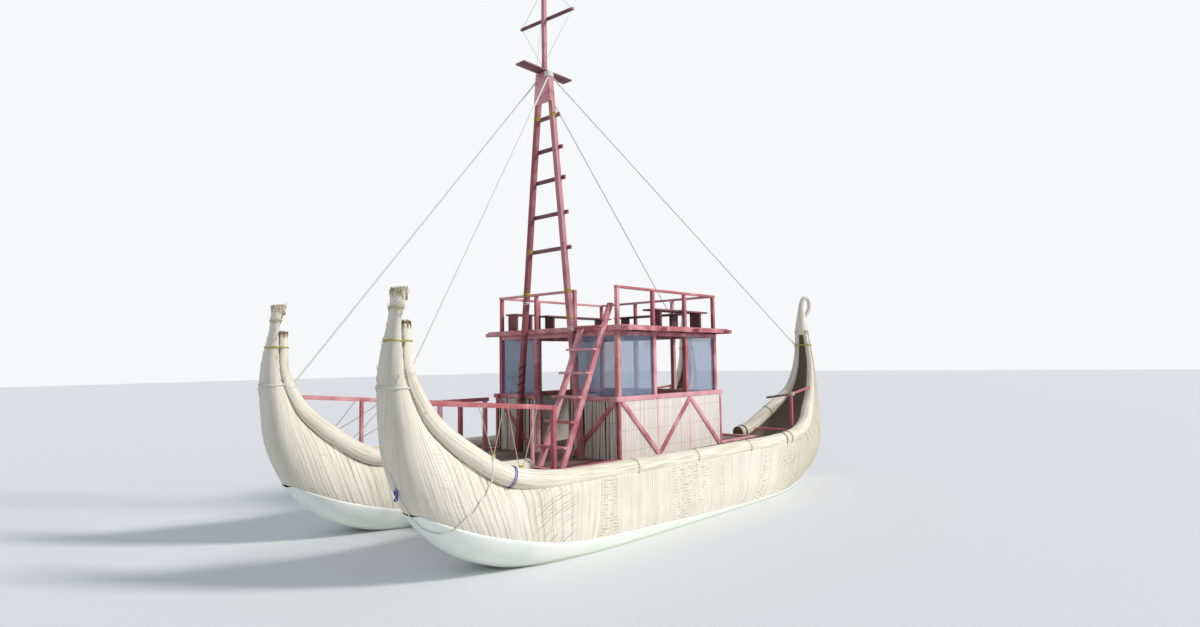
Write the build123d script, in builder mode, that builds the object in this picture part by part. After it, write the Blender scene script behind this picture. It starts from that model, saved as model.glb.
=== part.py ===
from build123d import *
from math import cos, hypot, radians, sin, sqrt
import os

# Twin-hulled reed boat. Millimetres, +X towards the bows, +Y to port, +Z up.
# The origin is on the centreline, amidships, at the waterline.
os.makedirs("parts", exist_ok=True)

# Hulls
hull_offset = 1450          # each hull's centre plane, out from the boat's centreline
seat_gap = 0.3              # left between a piece and the curved one it rests on
float_line = 100            # top of the smooth float along the middle of the hull
float_straight = 2400       # half the length over which that line stays level
float_tip_x = 5000          # where the line has climbed to at either end
float_tip_z = 960
roll_sides = 12             # flats round the section of a bound roll
floor_width = 0.5           # half-width of the sunken floor, as a share of the section's own

# Half of a hull's section from keel to shoulder, as shares of its half-width and of its depth
# across, up
hull_outline = [(0.3, 0.024), (0.57, 0.095), (0.79, 0.215), (0.94, 0.385), (1.0, 0.59), (0.975, 0.8), (0.88, 1.0)]

# One row for each cross-section of a hull, from stern to bow. The keel and sheer points lie in the
# hull's centre plane. The rolls' centres are roll_off to each side of the sheer point. Trough is how
# far the reed floor is sunk between the hull's shoulders.
# keel_x, keel_z, sheer_x, sheer_z, half_width, roll_off, roll_r, trough
hull_stations = [
    (-4690, 2960, -4530, 2960, 140, 72, 70, 8),
    (-4850, 2350, -4590, 2350, 205, 125, 85, 30),
    (-4940, 1700, -4430, 1800, 300, 205, 100, 90),
    (-4850, 1000, -4000, 1430, 420, 330, 120, 220),
    (-4350, 420, -3500, 1170, 540, 450, 125, 250),
    (-3300, -30, -2900, 980, 640, 535, 125, 120),
    (-2000, -290, -2000, 900, 678, 568, 125, 60),
    (-1000, -317, -1000, 890, 680, 570, 125, 60),
    (0, -320, 0, 890, 680, 570, 125, 60),
    (1000, -317, 1000, 890, 680, 570, 125, 60),
    (2000, -290, 2000, 895, 678, 568, 125, 60),
    (3250, -110, 3000, 930, 640, 540, 125, 110),
    (4200, 220, 3700, 1050, 560, 470, 125, 170),
    (4850, 820, 4250, 1380, 440, 350, 120, 150),
    (5120, 1480, 4600, 1850, 330, 225, 108, 70),
    (5185, 2200, 4780, 2380, 240, 130, 92, 25),
    (5090, 2850, 4850, 2850, 170, 82, 78, 8),
    (5000, 3150, 4835, 3150, 100, 0, 0, 4),
]
inner_roll_fore = 2560      # the inner rolls stop short of the platform here
inner_roll_aft = -2760

# Stern horns: a bundle that tapers upwards, bends over aft and comes back in as a loop
# x, z, radius
horn_path = [
    (-4560, 2960, 105), (-4560, 3060, 88), (-4560, 3200, 66), (-4562, 3360, 60), (-4568, 3480, 46),
    (-4595, 3555, 36), (-4650, 3582, 34), (-4708, 3555, 34), (-4738, 3480, 33), (-4735, 3370, 32),
    (-4700, 3260, 32), (-4640, 3170, 32), (-4600, 3120, 32),
]

# Platform
deck_top = 920
deck_fore = 2500
deck_aft = -2700
deck_half_width = 1375
plank_thickness = 25
plank_count = 14
plank_gap = 6
beam_height = 70
beam_width = 90
beam_reach = 1880           # half the length of a cross beam, out to the outer rolls
sleeper_width = 120
sleeper_offset = 220        # each side of the hull's centre plane
sleeper_aft = -2600
sleeper_fore = 2420
kerb_width = 80
kerb_height = 30

# Cabin
cabin_fore = 1200           # outer faces of the cabin's corner posts
cabin_aft = -1440
cabin_half_width = 1330
post_size = 70
wall_top = 2740             # top of the posts, where the wall plates lie
plate_height = 60
sill_top = 1840
sill_height = 70
sill_thickness = 45         # how far a sill stands out past the posts
sill_reach = 90             # how far a side sill runs on past the corner posts
sill_inset = 10             # from the posts' inner faces to a sill's inner edge
wall_thickness = 38
brace_width = 70
brace_thickness = 20
brace_margin = 12           # from a brace's end to the sill or the deck
glass_thickness = 5

# Roof, which is the upper deck
roof_overhang = 100
roof_side_overhang = 150
roof_beam_height = 65
roof_beam_width = 80
roof_beam_reach = 1600
roof_plank_thickness = 22
roof_plank_count = 16
fascia_thickness = 22
fascia_height = 75
upper_post_size = 55
upper_rail_rise = 587       # the rail's top above the roof
upper_rail_height = 38
upper_rail_width = 60
bench_rise = 298            # the seats' top above the roof
bench_thickness = 28
bench_width = 270
bench_leg = 45
bench_leg_inset = 30
bench_leg_spread = 0.76     # distance between a bench's legs, as a share of its length
# middle_x, middle_y, length, turn in degrees
benches = [
    (-590, 1105, 1480, 0),
    (-455, -1105, 1750, 0),
    (915, -1105, 430, 0),
    (-1235, 20, 1480, 90),
]

# Boarding ladder, leaning aft on the roof's front edge
ladder_foot_x = 2190        # aft corner of a stringer's foot
ladder_inner_y = 760
ladder_outer_y = 1200
stringer_depth = 90
stringer_width = 42
stringer_inner_rise = -17   # the stringers' tops from the roof's top
stringer_outer_rise = 333
tread_count = 6
tread_rise = 336
first_tread = 270
tread_thickness = 32
tread_depth = 125
tread_housing = 60          # how deep a tread is let into the stringers
tread_overhang = 60

# Mast
mast_ahead = 145            # of the cabin's front posts
mast_foot_y = 715
mast_top_y = 105
mast_top = 7000
leg_size = 78
rung_heights = (4130, 4690, 5250, 5750, 6280)
rung_height = 60
rung_thickness = 35
rung_overhang = 60
masthead_bottom = 6490
masthead_thickness = 22
crosstree_length = 1060
crosstree_width = 200
crosstree_thickness = 26
topmast_size = 64
topmast_top = 8560
yard_height = 7915
yard_tilt = 2.4             # degrees, its starboard end up
yard_length = 1220
yard_size = 42
stay_r = 7
stay_top_z = 6960
# where each stay comes down, inside the roll that it is tied to: x, y, z
forestay_feet = [(4765, 1582, 2350), (4705, -1295, 2190)]
backstay_feet = [(-4575, 1345, 2530), (-4575, -1345, 2530)]

# Rails of the foredeck and bows
rail_post_size = 60
rail_post_y = 1262
rail_top = 1790
rail_height = 60
rail_thickness = 45
low_rail_ahead = 300        # from the cabin to the rail along the starboard side of the foredeck
low_rail_posts = (70, 570)  # from that rail's aft end
middle_post_y = 850
middle_post_size = 40
bow_rail_end = (4700, 1390, 1945)
bow_post_x = 3750
bow_post_foot = 500         # inside the hull, whose floor cuts the post off

# Stern frame on each hull
frame_x = -3230
thwart_z = 1040
thwart_width = 110
thwart_thickness = 40
frame_post_off = 350        # outboard of the hull's centre plane
frame_post_size = 45
frame_post_top = 1740
frame_pole_r = 24

# Worked out from the sizes above
roof_fore = cabin_fore + roof_overhang
roof_aft = cabin_aft - roof_overhang
roof_half_width = cabin_half_width + roof_side_overhang
mast_x = cabin_fore + mast_ahead
low_rail_start = cabin_fore + low_rail_ahead
rail_post_xs = [low_rail_start + ahead for ahead in low_rail_posts]
beam_top = deck_top - plank_thickness
beam_bottom = beam_top - beam_height
deck_length = deck_fore - deck_aft
deck_middle = (deck_fore + deck_aft) / 2
cabin_length = cabin_fore - cabin_aft
cabin_middle = (cabin_fore + cabin_aft) / 2
sill_bottom = sill_top - sill_height
plate_top = wall_top + plate_height
roof_beam_top = plate_top + roof_beam_height
roof_top = roof_beam_top + roof_plank_thickness
roof_length = roof_fore - roof_aft
roof_middle = (roof_fore + roof_aft) / 2
upper_rail_top = roof_top + upper_rail_rise
rail_under = upper_rail_top - upper_rail_height
bench_top = roof_top + bench_rise
stringer_inner_top = roof_top + stringer_inner_rise
stringer_outer_top = roof_top + stringer_outer_rise

# Cabin posts stand at the corners and at the thirds of each wall
long_bay = (cabin_length - post_size) / 3
wide_bay = (2 * cabin_half_width - post_size) / 3
post_xs = [cabin_fore - post_size / 2 - i * long_bay for i in range(4)]
post_ys = [cabin_half_width - post_size / 2 - i * wide_bay for i in range(4)]
post_places = [(x, y) for x in post_xs for y in post_ys if x in (post_xs[0], post_xs[3]) or y in
               (post_ys[0], post_ys[3])]
door_edge = post_ys[1] - post_size / 2


def export(sub_part, name):
    """Label a finished sub-part and write it as a STEP file of its own."""
    sub_part.label = name
    export_step(sub_part, f"parts/{name}.step")


def section_plane(keel_x, keel_z, sheer_x, sheer_z):
    """The plane of one hull section, its local Y running from keel to sheer, and that distance."""
    reach = hypot(sheer_x - keel_x, sheer_z - keel_z)
    up_x = (sheer_x - keel_x) / reach
    up_z = (sheer_z - keel_z) / reach
    plane = Plane(origin=(keel_x, hull_offset, keel_z), x_dir=(0, 1, 0), z_dir=(up_z, 0, -up_x))
    return plane, reach


def bundle(centres, radii):
    """A bound bundle of reeds, lofted through sections square to the line of its centres."""
    last = len(centres) - 1
    with BuildPart() as bound:
        for i, centre in enumerate(centres):
            along = centres[min(i + 1, last)] - centres[max(i - 1, 0)]
            with BuildSketch(Plane(origin=centre, x_dir=(0, 1, 0), z_dir=along)):
                RegularPolygon(radii[i], roll_sides)
        loft(ruled=True)
    return bound.part


def gunwale_roll(side, extra=0.0):
    """One whole roll from stern to bow, outboard or inboard as side is 1 or -1."""
    rows = [row for row in hull_stations if row[6] > 0]
    centres = [Vector(row[2], hull_offset + side * row[5], row[3]) for row in rows]
    return bundle(centres, [row[6] + extra for row in rows])


def board(start, end, width):
    """Corners of a flat board of one width, lying from start to end in a sketch."""
    run = (Vector(*end) - Vector(*start)).normalized()
    half = Vector(-run.Y, run.X) * (width / 2)
    return [Vector(*start) - half, Vector(*end) - half, Vector(*end) + half, Vector(*start) + half]


# Hull form: a loft rounded below, with a sunken floor between its shoulders
with BuildPart() as hull_form:
    for keel_x, keel_z, sheer_x, sheer_z, half, roll_off, roll_r, trough in hull_stations:
        plane, reach = section_plane(keel_x, keel_z, sheer_x, sheer_z)
        top = reach - roll_r
        starboard_side = [(-across * half, up * top) for across, up in hull_outline]
        port_side = [(across * half, up * top) for across, up in hull_outline]
        floor = [(floor_width * half, top - trough), (-floor_width * half, top - trough)]
        with BuildSketch(plane):
            Polygon((0, 0), *port_side, *floor, *reversed(starboard_side))
    loft(ruled=True)

# All that lies below the float's upper edge, seen from the side
beyond = 2 * float_tip_x
with BuildSketch(Plane.XZ) as below_float_line:
    with BuildLine():
        Line((-float_straight, float_line), (float_straight, float_line))
        TangentArc([(float_straight, float_line), (float_tip_x, float_tip_z)], tangent=(1, 0))
        Polyline((float_tip_x, float_tip_z), (beyond, float_tip_z), (beyond, -beyond),
                 (-beyond, -beyond), (-beyond, float_tip_z), (-float_tip_x, float_tip_z))
        TangentArc([(-float_straight, float_line), (-float_tip_x, float_tip_z)], tangent=(-1, 0))
    make_face()

outer_roll = gunwale_roll(1)
inner_roll = gunwale_roll(-1)
outer_seat = gunwale_roll(1, seat_gap)
inner_seat = gunwale_roll(-1, seat_gap)
starboard_form = mirror(hull_form.part, about=Plane.XZ)
starboard_outer = mirror(outer_roll, about=Plane.XZ)
starboard_inner = mirror(inner_roll, about=Plane.XZ)

with BuildPart() as port_float:
    add(hull_form.part)
    extrude(below_float_line.sketch, amount=beyond, both=True, mode=Mode.INTERSECT)

with BuildPart() as port_hull:
    add(hull_form.part)
    extrude(below_float_line.sketch, amount=beyond, both=True, mode=Mode.SUBTRACT)
    add(outer_seat, mode=Mode.SUBTRACT)
    add(inner_seat, mode=Mode.SUBTRACT)

with BuildPart() as port_outer_roll:
    add(outer_roll)

# The inner roll is in two lengths, one forward of the platform and one aft of it
with BuildPart() as port_inner_rolls:
    add(inner_roll)
    with BuildSketch(Plane.XY):
        with Locations(((inner_roll_fore + inner_roll_aft) / 2, hull_offset)):
            Rectangle(inner_roll_fore - inner_roll_aft, 2 * hull_offset)
    extrude(amount=2 * deck_top, mode=Mode.SUBTRACT)

# Stern horn, standing on the ends of the rolls
horn = bundle([Vector(x, hull_offset, z) for x, z, r in horn_path], [r for x, z, r in horn_path])
with BuildPart() as port_stern_horn:
    add(horn)
    add(outer_roll, mode=Mode.SUBTRACT)
    add(inner_roll, mode=Mode.SUBTRACT)
    add(hull_form.part, mode=Mode.SUBTRACT)

# Platform: sleepers on the hulls' floors, beams across them, and planks along the boat
with BuildPart() as port_sleepers:
    with BuildSketch(Plane.XY.offset(beam_bottom)):
        with Locations(((sleeper_fore + sleeper_aft) / 2, hull_offset)):
            with GridLocations(0, 2 * sleeper_offset, 1, 2):
                Rectangle(sleeper_fore - sleeper_aft, sleeper_width)
    extrude(amount=-2 * beam_height)
    add(hull_form.part, mode=Mode.SUBTRACT)

beam_xs = [deck_aft + beam_width, deck_fore - beam_width] + post_xs
with BuildPart() as cross_beams:
    with BuildSketch(Plane.XY.offset(beam_bottom)):
        with Locations(*[(x, 0) for x in beam_xs]):
            Rectangle(beam_width, 2 * beam_reach)
    extrude(amount=beam_height)
    add([hull_form.part, starboard_form], mode=Mode.SUBTRACT)

plank_pitch = 2 * deck_half_width / plank_count
with BuildPart() as deck_planks:
    with BuildSketch(Plane.XY.offset(beam_top)):
        with Locations((deck_middle, 0)):
            with GridLocations(0, plank_pitch, 1, plank_count):
                Rectangle(deck_length, plank_pitch - plank_gap)
    extrude(amount=plank_thickness)

# Kerb round the open ends of the deck, interrupted along the cabin
with BuildPart() as deck_kerbs:
    with BuildSketch(Plane.XY.offset(deck_top)):
        with Locations((deck_middle, 0)):
            Rectangle(deck_length, 2 * deck_half_width)
            Rectangle(deck_length - 2 * kerb_width, 2 * (deck_half_width - kerb_width), mode=Mode.SUBTRACT)
        with Locations((cabin_middle, 0)):
            Rectangle(cabin_length + 2 * wall_thickness, 3 * deck_half_width, mode=Mode.SUBTRACT)
    extrude(amount=kerb_height)

# Cabin frame
with BuildPart() as cabin_posts:
    with BuildSketch(Plane.XY.offset(deck_top)):
        with Locations(*post_places):
            Rectangle(post_size, post_size)
    extrude(amount=wall_top - deck_top)

with BuildPart() as wall_plates:
    with BuildSketch(Plane.XY.offset(wall_top)):
        with Locations((cabin_middle, 0)):
            Rectangle(cabin_length, 2 * cabin_half_width)
            Rectangle(cabin_length - 2 * post_size, 2 * (cabin_half_width - post_size), mode=Mode.SUBTRACT)
    extrude(amount=plate_height)

# Sills are boards notched round the posts, broken at the doorway in the front wall
sill_depth = sill_thickness + post_size - sill_inset
with BuildPart() as cabin_sills:
    with BuildSketch(Plane.XY.offset(sill_bottom)):
        side_y = cabin_half_width + sill_thickness - sill_depth / 2
        with Locations((cabin_middle, side_y), (cabin_middle, -side_y)):
            Rectangle(cabin_length + 2 * sill_reach, sill_depth)
        with Locations((cabin_fore + sill_thickness - sill_depth / 2, 0)):
            Rectangle(sill_depth, 2 * cabin_half_width)
        with Locations((cabin_aft - sill_thickness + sill_depth / 2, 0)):
            Rectangle(sill_depth, 2 * cabin_half_width)
        with Locations((cabin_fore, 0)):
            Rectangle(3 * sill_depth, 2 * door_edge, mode=Mode.SUBTRACT)
        with Locations(*post_places):
            Rectangle(post_size, post_size, mode=Mode.SUBTRACT)
    extrude(amount=sill_height)

# Reed panels close the lower half of the walls, on the outer faces of the posts
panel_height = sill_bottom - deck_top
with BuildPart() as port_reed_wall:
    with BuildSketch(Plane.XY.offset(deck_top)):
        with Locations((cabin_middle, cabin_half_width + wall_thickness / 2)):
            Rectangle(cabin_length, wall_thickness)
    extrude(amount=panel_height)

with BuildPart() as front_reed_walls:
    with BuildSketch(Plane.XY.offset(deck_top)):
        with Locations((cabin_fore + wall_thickness / 2, 0)):
            Rectangle(wall_thickness, 2 * cabin_half_width)
            Rectangle(wall_thickness, 2 * door_edge, mode=Mode.SUBTRACT)
    extrude(amount=panel_height)

with BuildPart() as aft_reed_wall:
    with BuildSketch(Plane.XY.offset(deck_top)):
        with Locations((cabin_aft - wall_thickness / 2, 0)):
            Rectangle(wall_thickness, 2 * cabin_half_width)
    extrude(amount=panel_height)

# Diagonal braces, flat against the reed panels, from corner to corner of the bays
brace_low = deck_top + brace_width / 2 + brace_margin
brace_high = sill_bottom - brace_width / 2 - brace_margin
brace_inset = post_size
with BuildPart() as port_braces:
    with BuildSketch(Plane.XZ.offset(-cabin_half_width - wall_thickness)):
        Polygon(*board((post_xs[0] - brace_inset, brace_high), (post_xs[1] + brace_inset, brace_low),
                       brace_width))
        Polygon(*board((post_xs[1] - brace_inset, brace_low), (post_xs[2] + brace_inset, brace_high),
                       brace_width))
        Polygon(*board((post_xs[2] - brace_inset, brace_high), (post_xs[3] + brace_inset, brace_low),
                       brace_width))
    extrude(amount=-brace_thickness)

with BuildPart() as front_braces:
    with BuildSketch(Plane.YZ.offset(cabin_fore + wall_thickness)):
        for side in (-1, 1):
            Polygon(*board((side * (post_ys[0] - brace_inset), brace_high),
                           (side * (post_ys[1] + brace_inset), brace_low), brace_width))
    extrude(amount=brace_thickness)

# Clear panes stand on the sills in the end bays of the sides and beside the doorway
end_bay_xs = [(post_xs[0] + post_xs[1]) / 2, (post_xs[2] + post_xs[3]) / 2]
with BuildPart() as side_panes:
    with BuildSketch(Plane.XY.offset(sill_top)):
        with Locations(*[(x, y) for x in end_bay_xs for y in (post_ys[0], post_ys[3])]):
            Rectangle(long_bay - post_size, glass_thickness)
    extrude(amount=wall_top - sill_top)

with BuildPart() as front_panes:
    with BuildSketch(Plane.XY.offset(sill_top)):
        with Locations((post_xs[0], (post_ys[0] + post_ys[1]) / 2), (post_xs[0], (post_ys[2] + post_ys[3]) / 2)):
            Rectangle(glass_thickness, wide_bay - post_size)
    extrude(amount=wall_top - sill_top)

# Roof
end_beam_inset = fascia_thickness + roof_beam_width / 2
roof_beam_xs = [roof_fore - end_beam_inset, post_xs[1], post_xs[2], roof_aft + end_beam_inset]
with BuildPart() as roof_beams:
    with BuildSketch(Plane.XY.offset(plate_top)):
        with Locations(*[(x, 0) for x in roof_beam_xs]):
            Rectangle(roof_beam_width, 2 * roof_beam_reach)
    extrude(amount=roof_beam_height)

roof_pitch = 2 * roof_half_width / roof_plank_count
with BuildPart() as roof_planks:
    with BuildSketch(Plane.XY.offset(roof_beam_top)):
        with Locations((roof_middle, 0)):
            with GridLocations(0, roof_pitch, 1, roof_plank_count):
                Rectangle(roof_length - 2 * fascia_thickness, roof_pitch - plank_gap)
    extrude(amount=roof_plank_thickness)

fascia_bottom = roof_top - fascia_height
with BuildPart() as roof_fascias:
    with BuildSketch(Plane.XY.offset(fascia_bottom)):
        with Locations((roof_middle, 0)):
            Rectangle(roof_length, 2 * (roof_half_width + fascia_thickness))
            Rectangle(roof_length - 2 * fascia_thickness, 2 * roof_half_width, mode=Mode.SUBTRACT)
    extrude(amount=fascia_height)
    with BuildSketch(Plane.XY.offset(fascia_bottom)):
        with Locations(*[(x, 0) for x in roof_beam_xs]):
            Rectangle(roof_beam_width, 3 * roof_half_width)
    extrude(amount=roof_beam_top - fascia_bottom, mode=Mode.SUBTRACT)

# Upper rail, with no front rail where the ladder comes up
with BuildPart() as upper_rail_posts:
    with BuildSketch(Plane.XY.offset(roof_top)):
        with Locations(*post_places):
            Rectangle(upper_post_size, upper_post_size)
    extrude(amount=rail_under - roof_top)

with BuildPart() as upper_rails:
    with BuildSketch(Plane.XY.offset(rail_under)):
        with Locations((cabin_middle, 0)):
            Rectangle(cabin_length, 2 * cabin_half_width)
            Rectangle(cabin_length - 2 * upper_rail_width, 2 * (cabin_half_width - upper_rail_width),
                      mode=Mode.SUBTRACT)
        gap_start = post_ys[1] + upper_rail_width / 2
        gap_end = cabin_half_width - upper_rail_width
        with Locations((cabin_fore, (gap_start + gap_end) / 2)):
            Rectangle(3 * upper_rail_width, gap_end - gap_start, mode=Mode.SUBTRACT)
    extrude(amount=upper_rail_height)

# Benches of the upper deck: a seat board on two legs across it
with BuildPart() as upper_benches:
    with BuildSketch(Plane.XY.offset(bench_top - bench_thickness)):
        for middle_x, middle_y, length, turn in benches:
            with Locations(Location((middle_x, middle_y, 0), (0, 0, turn))):
                Rectangle(length, bench_width)
    extrude(amount=bench_thickness)
    with BuildSketch(Plane.XY.offset(roof_top)):
        for middle_x, middle_y, length, turn in benches:
            with Locations(Location((middle_x, middle_y, 0), (0, 0, turn))):
                with GridLocations(bench_leg_spread * length, 0, 2, 1):
                    Rectangle(bench_leg, bench_width - 2 * bench_leg_inset)
    extrude(amount=bench_top - bench_thickness - roof_top)

# Boarding ladder. Its aft edge runs from the deck to the top corner of the roof's front fascia.
ladder_lean = (roof_fore + seat_gap - ladder_foot_x) / (roof_top - deck_top)
stringer_run = stringer_depth * sqrt(1 + ladder_lean ** 2)


def ladder_x(z):
    """Where the stringers' aft edge is at a height."""
    return ladder_foot_x + ladder_lean * (z - deck_top)


tread_zs = [deck_top + first_tread + i * tread_rise for i in range(tread_count)]
tread_start = ladder_inner_y - stringer_width / 2 - tread_overhang
tread_end = ladder_outer_y + stringer_width / 2
with BuildPart() as ladder_treads:
    with BuildSketch(Plane.XZ.offset(-tread_start)):
        for z in tread_zs:
            with Locations((ladder_x(z) + stringer_run - tread_housing + tread_depth / 2, z)):
                Rectangle(tread_depth, tread_thickness)
    extrude(amount=tread_start - tread_end)

with BuildPart() as ladder_stringers:
    for y, top in ((ladder_inner_y, stringer_inner_top), (ladder_outer_y, stringer_outer_top)):
        with BuildSketch(Plane.XZ.offset(-y)):
            Polygon((ladder_x(deck_top), deck_top), (ladder_x(deck_top) + stringer_run, deck_top),
                    (ladder_x(top) + stringer_run, top), (ladder_x(top), top))
        extrude(amount=stringer_width / 2, both=True)
    add(ladder_treads.part, mode=Mode.SUBTRACT)

# Mast: two legs standing on the deck, spread across the boat and closing at the top
leg_lean = (mast_top_y - mast_foot_y) / (mast_top - deck_top)
leg_run = leg_size * sqrt(1 + leg_lean ** 2) / 2


def leg_y(z):
    """How far out the middle of a mast leg is at a height."""
    return mast_foot_y + leg_lean * (z - deck_top)


with BuildPart() as mast_legs:
    with BuildSketch(Plane.YZ.offset(mast_x)):
        for side in (-1, 1):
            foot_y = side * leg_y(deck_top)
            top_y = side * leg_y(mast_top)
            Polygon((foot_y - leg_run, deck_top), (foot_y + leg_run, deck_top),
                    (top_y + leg_run, mast_top), (top_y - leg_run, mast_top))
    extrude(amount=leg_size / 2, both=True)

leg_face = mast_x + leg_size / 2
with BuildPart() as mast_rungs:
    with BuildSketch(Plane.YZ.offset(leg_face)):
        for z in rung_heights:
            with Locations((0, z)):
                Rectangle(2 * (leg_y(z) + leg_run + rung_overhang), rung_height)
    extrude(amount=rung_thickness)

with BuildPart() as masthead_panel:
    with BuildSketch(Plane.YZ.offset(leg_face)):
        low_y = leg_y(masthead_bottom) + leg_run
        high_y = leg_y(mast_top) + leg_run
        Polygon((-low_y, masthead_bottom), (low_y, masthead_bottom), (high_y, mast_top), (-high_y, mast_top))
    extrude(amount=masthead_thickness)

with BuildPart() as crosstree:
    with BuildSketch(Plane.XY.offset(mast_top)):
        with Locations((mast_x, 0)):
            Rectangle(crosstree_length, crosstree_width)
    extrude(amount=crosstree_thickness)

topmast_foot = mast_top + crosstree_thickness
with BuildPart() as topmast:
    with BuildSketch(Plane.XY.offset(topmast_foot)):
        with Locations((mast_x, 0)):
            Rectangle(topmast_size, topmast_size)
    extrude(amount=topmast_top - topmast_foot)

yard_rise = yard_length / 2 * sin(radians(yard_tilt))
yard_half = yard_length / 2 * cos(radians(yard_tilt))
with BuildPart() as yard:
    with BuildSketch(Plane.YZ.offset(mast_x - topmast_size / 2)):
        Polygon(*board((-yard_half, yard_height + yard_rise), (yard_half, yard_height - yard_rise), yard_size))
    extrude(amount=-yard_size)


def stays(feet, side_x):
    """Stays from the mast legs' tops down into the hulls' ends."""
    lines = []
    for foot in feet:
        side = 1 if foot[1] > 0 else -1
        head = Vector(side_x, side * leg_y(stay_top_z), stay_top_z)
        with BuildPart() as line:
            with BuildSketch(Plane(origin=head, z_dir=Vector(*foot) - head)):
                Circle(stay_r)
            extrude(amount=(Vector(*foot) - head).length)
        lines.append(line.part)
    return lines


forestay_lines = stays(forestay_feet, mast_x)
with BuildPart() as forestays:
    add(forestay_lines)
    add([mast_legs.part, masthead_panel.part, hull_form.part, outer_roll, inner_roll], mode=Mode.SUBTRACT)
    add([starboard_form, starboard_outer, starboard_inner], mode=Mode.SUBTRACT)

backstay_lines = stays(backstay_feet, mast_x)
with BuildPart() as backstays:
    add(backstay_lines)
    add([mast_legs.part, hull_form.part, outer_roll, inner_roll], mode=Mode.SUBTRACT)
    add([starboard_form, starboard_outer, starboard_inner], mode=Mode.SUBTRACT)

# Rails of the foredeck. Corner posts and a thin middle one stand on the front kerb.
corner_x = deck_fore - kerb_width / 2
kerb_top = deck_top + kerb_height
with BuildPart() as foredeck_posts:
    with BuildSketch(Plane.XY.offset(kerb_top)):
        with Locations((corner_x, rail_post_y), (corner_x, -rail_post_y)):
            Rectangle(rail_post_size, rail_post_size)
        with Locations((corner_x, middle_post_y)):
            Rectangle(middle_post_size, middle_post_size)
    extrude(amount=rail_top - kerb_top)
    with BuildSketch(Plane.XY.offset(deck_top)):
        with Locations(*[(x, -rail_post_y) for x in rail_post_xs]):
            Rectangle(rail_post_size, rail_post_size)
    extrude(amount=rail_top - rail_height - deck_top)

rail_end = corner_x - rail_post_size / 2
with BuildPart() as starboard_deck_rail:
    with BuildSketch(Plane.XY.offset(rail_top - rail_height)):
        with Locations(((low_rail_start + rail_end) / 2, -rail_post_y)):
            Rectangle(rail_end - low_rail_start, rail_thickness)
    extrude(amount=rail_height)

# Bow rail: from the foredeck's corner post forward and up to the prow
bow_rail_start = Vector(corner_x + rail_post_size / 2, rail_post_y, rail_top - rail_height / 2)
bow_rail_axis = Vector(*bow_rail_end) - bow_rail_start
bow_rail_level = Vector(0, 0, 1).cross(bow_rail_axis)
with BuildPart() as port_bow_rail:
    with BuildSketch(Plane(origin=bow_rail_start, x_dir=bow_rail_level, z_dir=bow_rail_axis)):
        Rectangle(rail_thickness, rail_height)
    extrude(amount=bow_rail_axis.length)
    add(foredeck_posts.part, mode=Mode.SUBTRACT)
    add(hull_form.part, mode=Mode.SUBTRACT)

# The starboard bow rail is also held up by a post on the hull's floor
bow_post_share = (bow_post_x - bow_rail_start.X) / bow_rail_axis.X
bow_post_place = bow_rail_start + bow_rail_axis * bow_post_share
with BuildPart() as starboard_bow_post:
    with BuildSketch(Plane.XY.offset(bow_post_place.Z)):
        with Locations((bow_post_x, -bow_post_place.Y)):
            Rectangle(rail_thickness, rail_thickness)
    extrude(amount=bow_post_foot - bow_post_place.Z)
    add(starboard_form, mode=Mode.SUBTRACT)
    add(mirror(port_bow_rail.part, about=Plane.XZ, mode=Mode.PRIVATE), mode=Mode.SUBTRACT)

# Stern frame: a thwart between the rolls, a post on it, and a pole from the post aft to the roll
frame_post_y = hull_offset + frame_post_off
with BuildPart() as port_stern_frame:
    with BuildSketch(Plane.XY.offset(thwart_z)):
        with Locations((frame_x, hull_offset)):
            Rectangle(thwart_width, 2 * hull_stations[5][5])
    extrude(amount=-thwart_thickness)
    with BuildSketch(Plane.XY.offset(thwart_z)):
        with Locations((frame_x, frame_post_y)):
            Rectangle(frame_post_size, frame_post_size)
    extrude(amount=frame_post_top - thwart_z)
    pole_start = Vector(frame_x - frame_post_size / 2, frame_post_y, frame_post_top - 2 * frame_pole_r)
    pole_end = Vector(hull_stations[2][2], hull_offset + hull_stations[2][5], hull_stations[2][3])
    with BuildSketch(Plane(origin=pole_start, z_dir=pole_end - pole_start)):
        Circle(frame_pole_r)
    extrude(amount=(pole_end - pole_start).length)
    add(outer_seat, mode=Mode.SUBTRACT)
    add(inner_seat, mode=Mode.SUBTRACT)
    add(hull_form.part, mode=Mode.SUBTRACT)

# Pieces that both hulls or both sides have
paired_parts = {
    "float": port_float,
    "hull": port_hull,
    "outer_roll": port_outer_roll,
    "inner_rolls": port_inner_rolls,
    "stern_horn": port_stern_horn,
    "sleepers": port_sleepers,
    "bow_rail": port_bow_rail,
    "reed_wall": port_reed_wall,
    "braces": port_braces,
    "stern_frame": port_stern_frame,
}
for name, sub_part in paired_parts.items():
    export(sub_part.part, f"port_{name}")
    export(mirror(sub_part.part, about=Plane.XZ), f"starboard_{name}")

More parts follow.
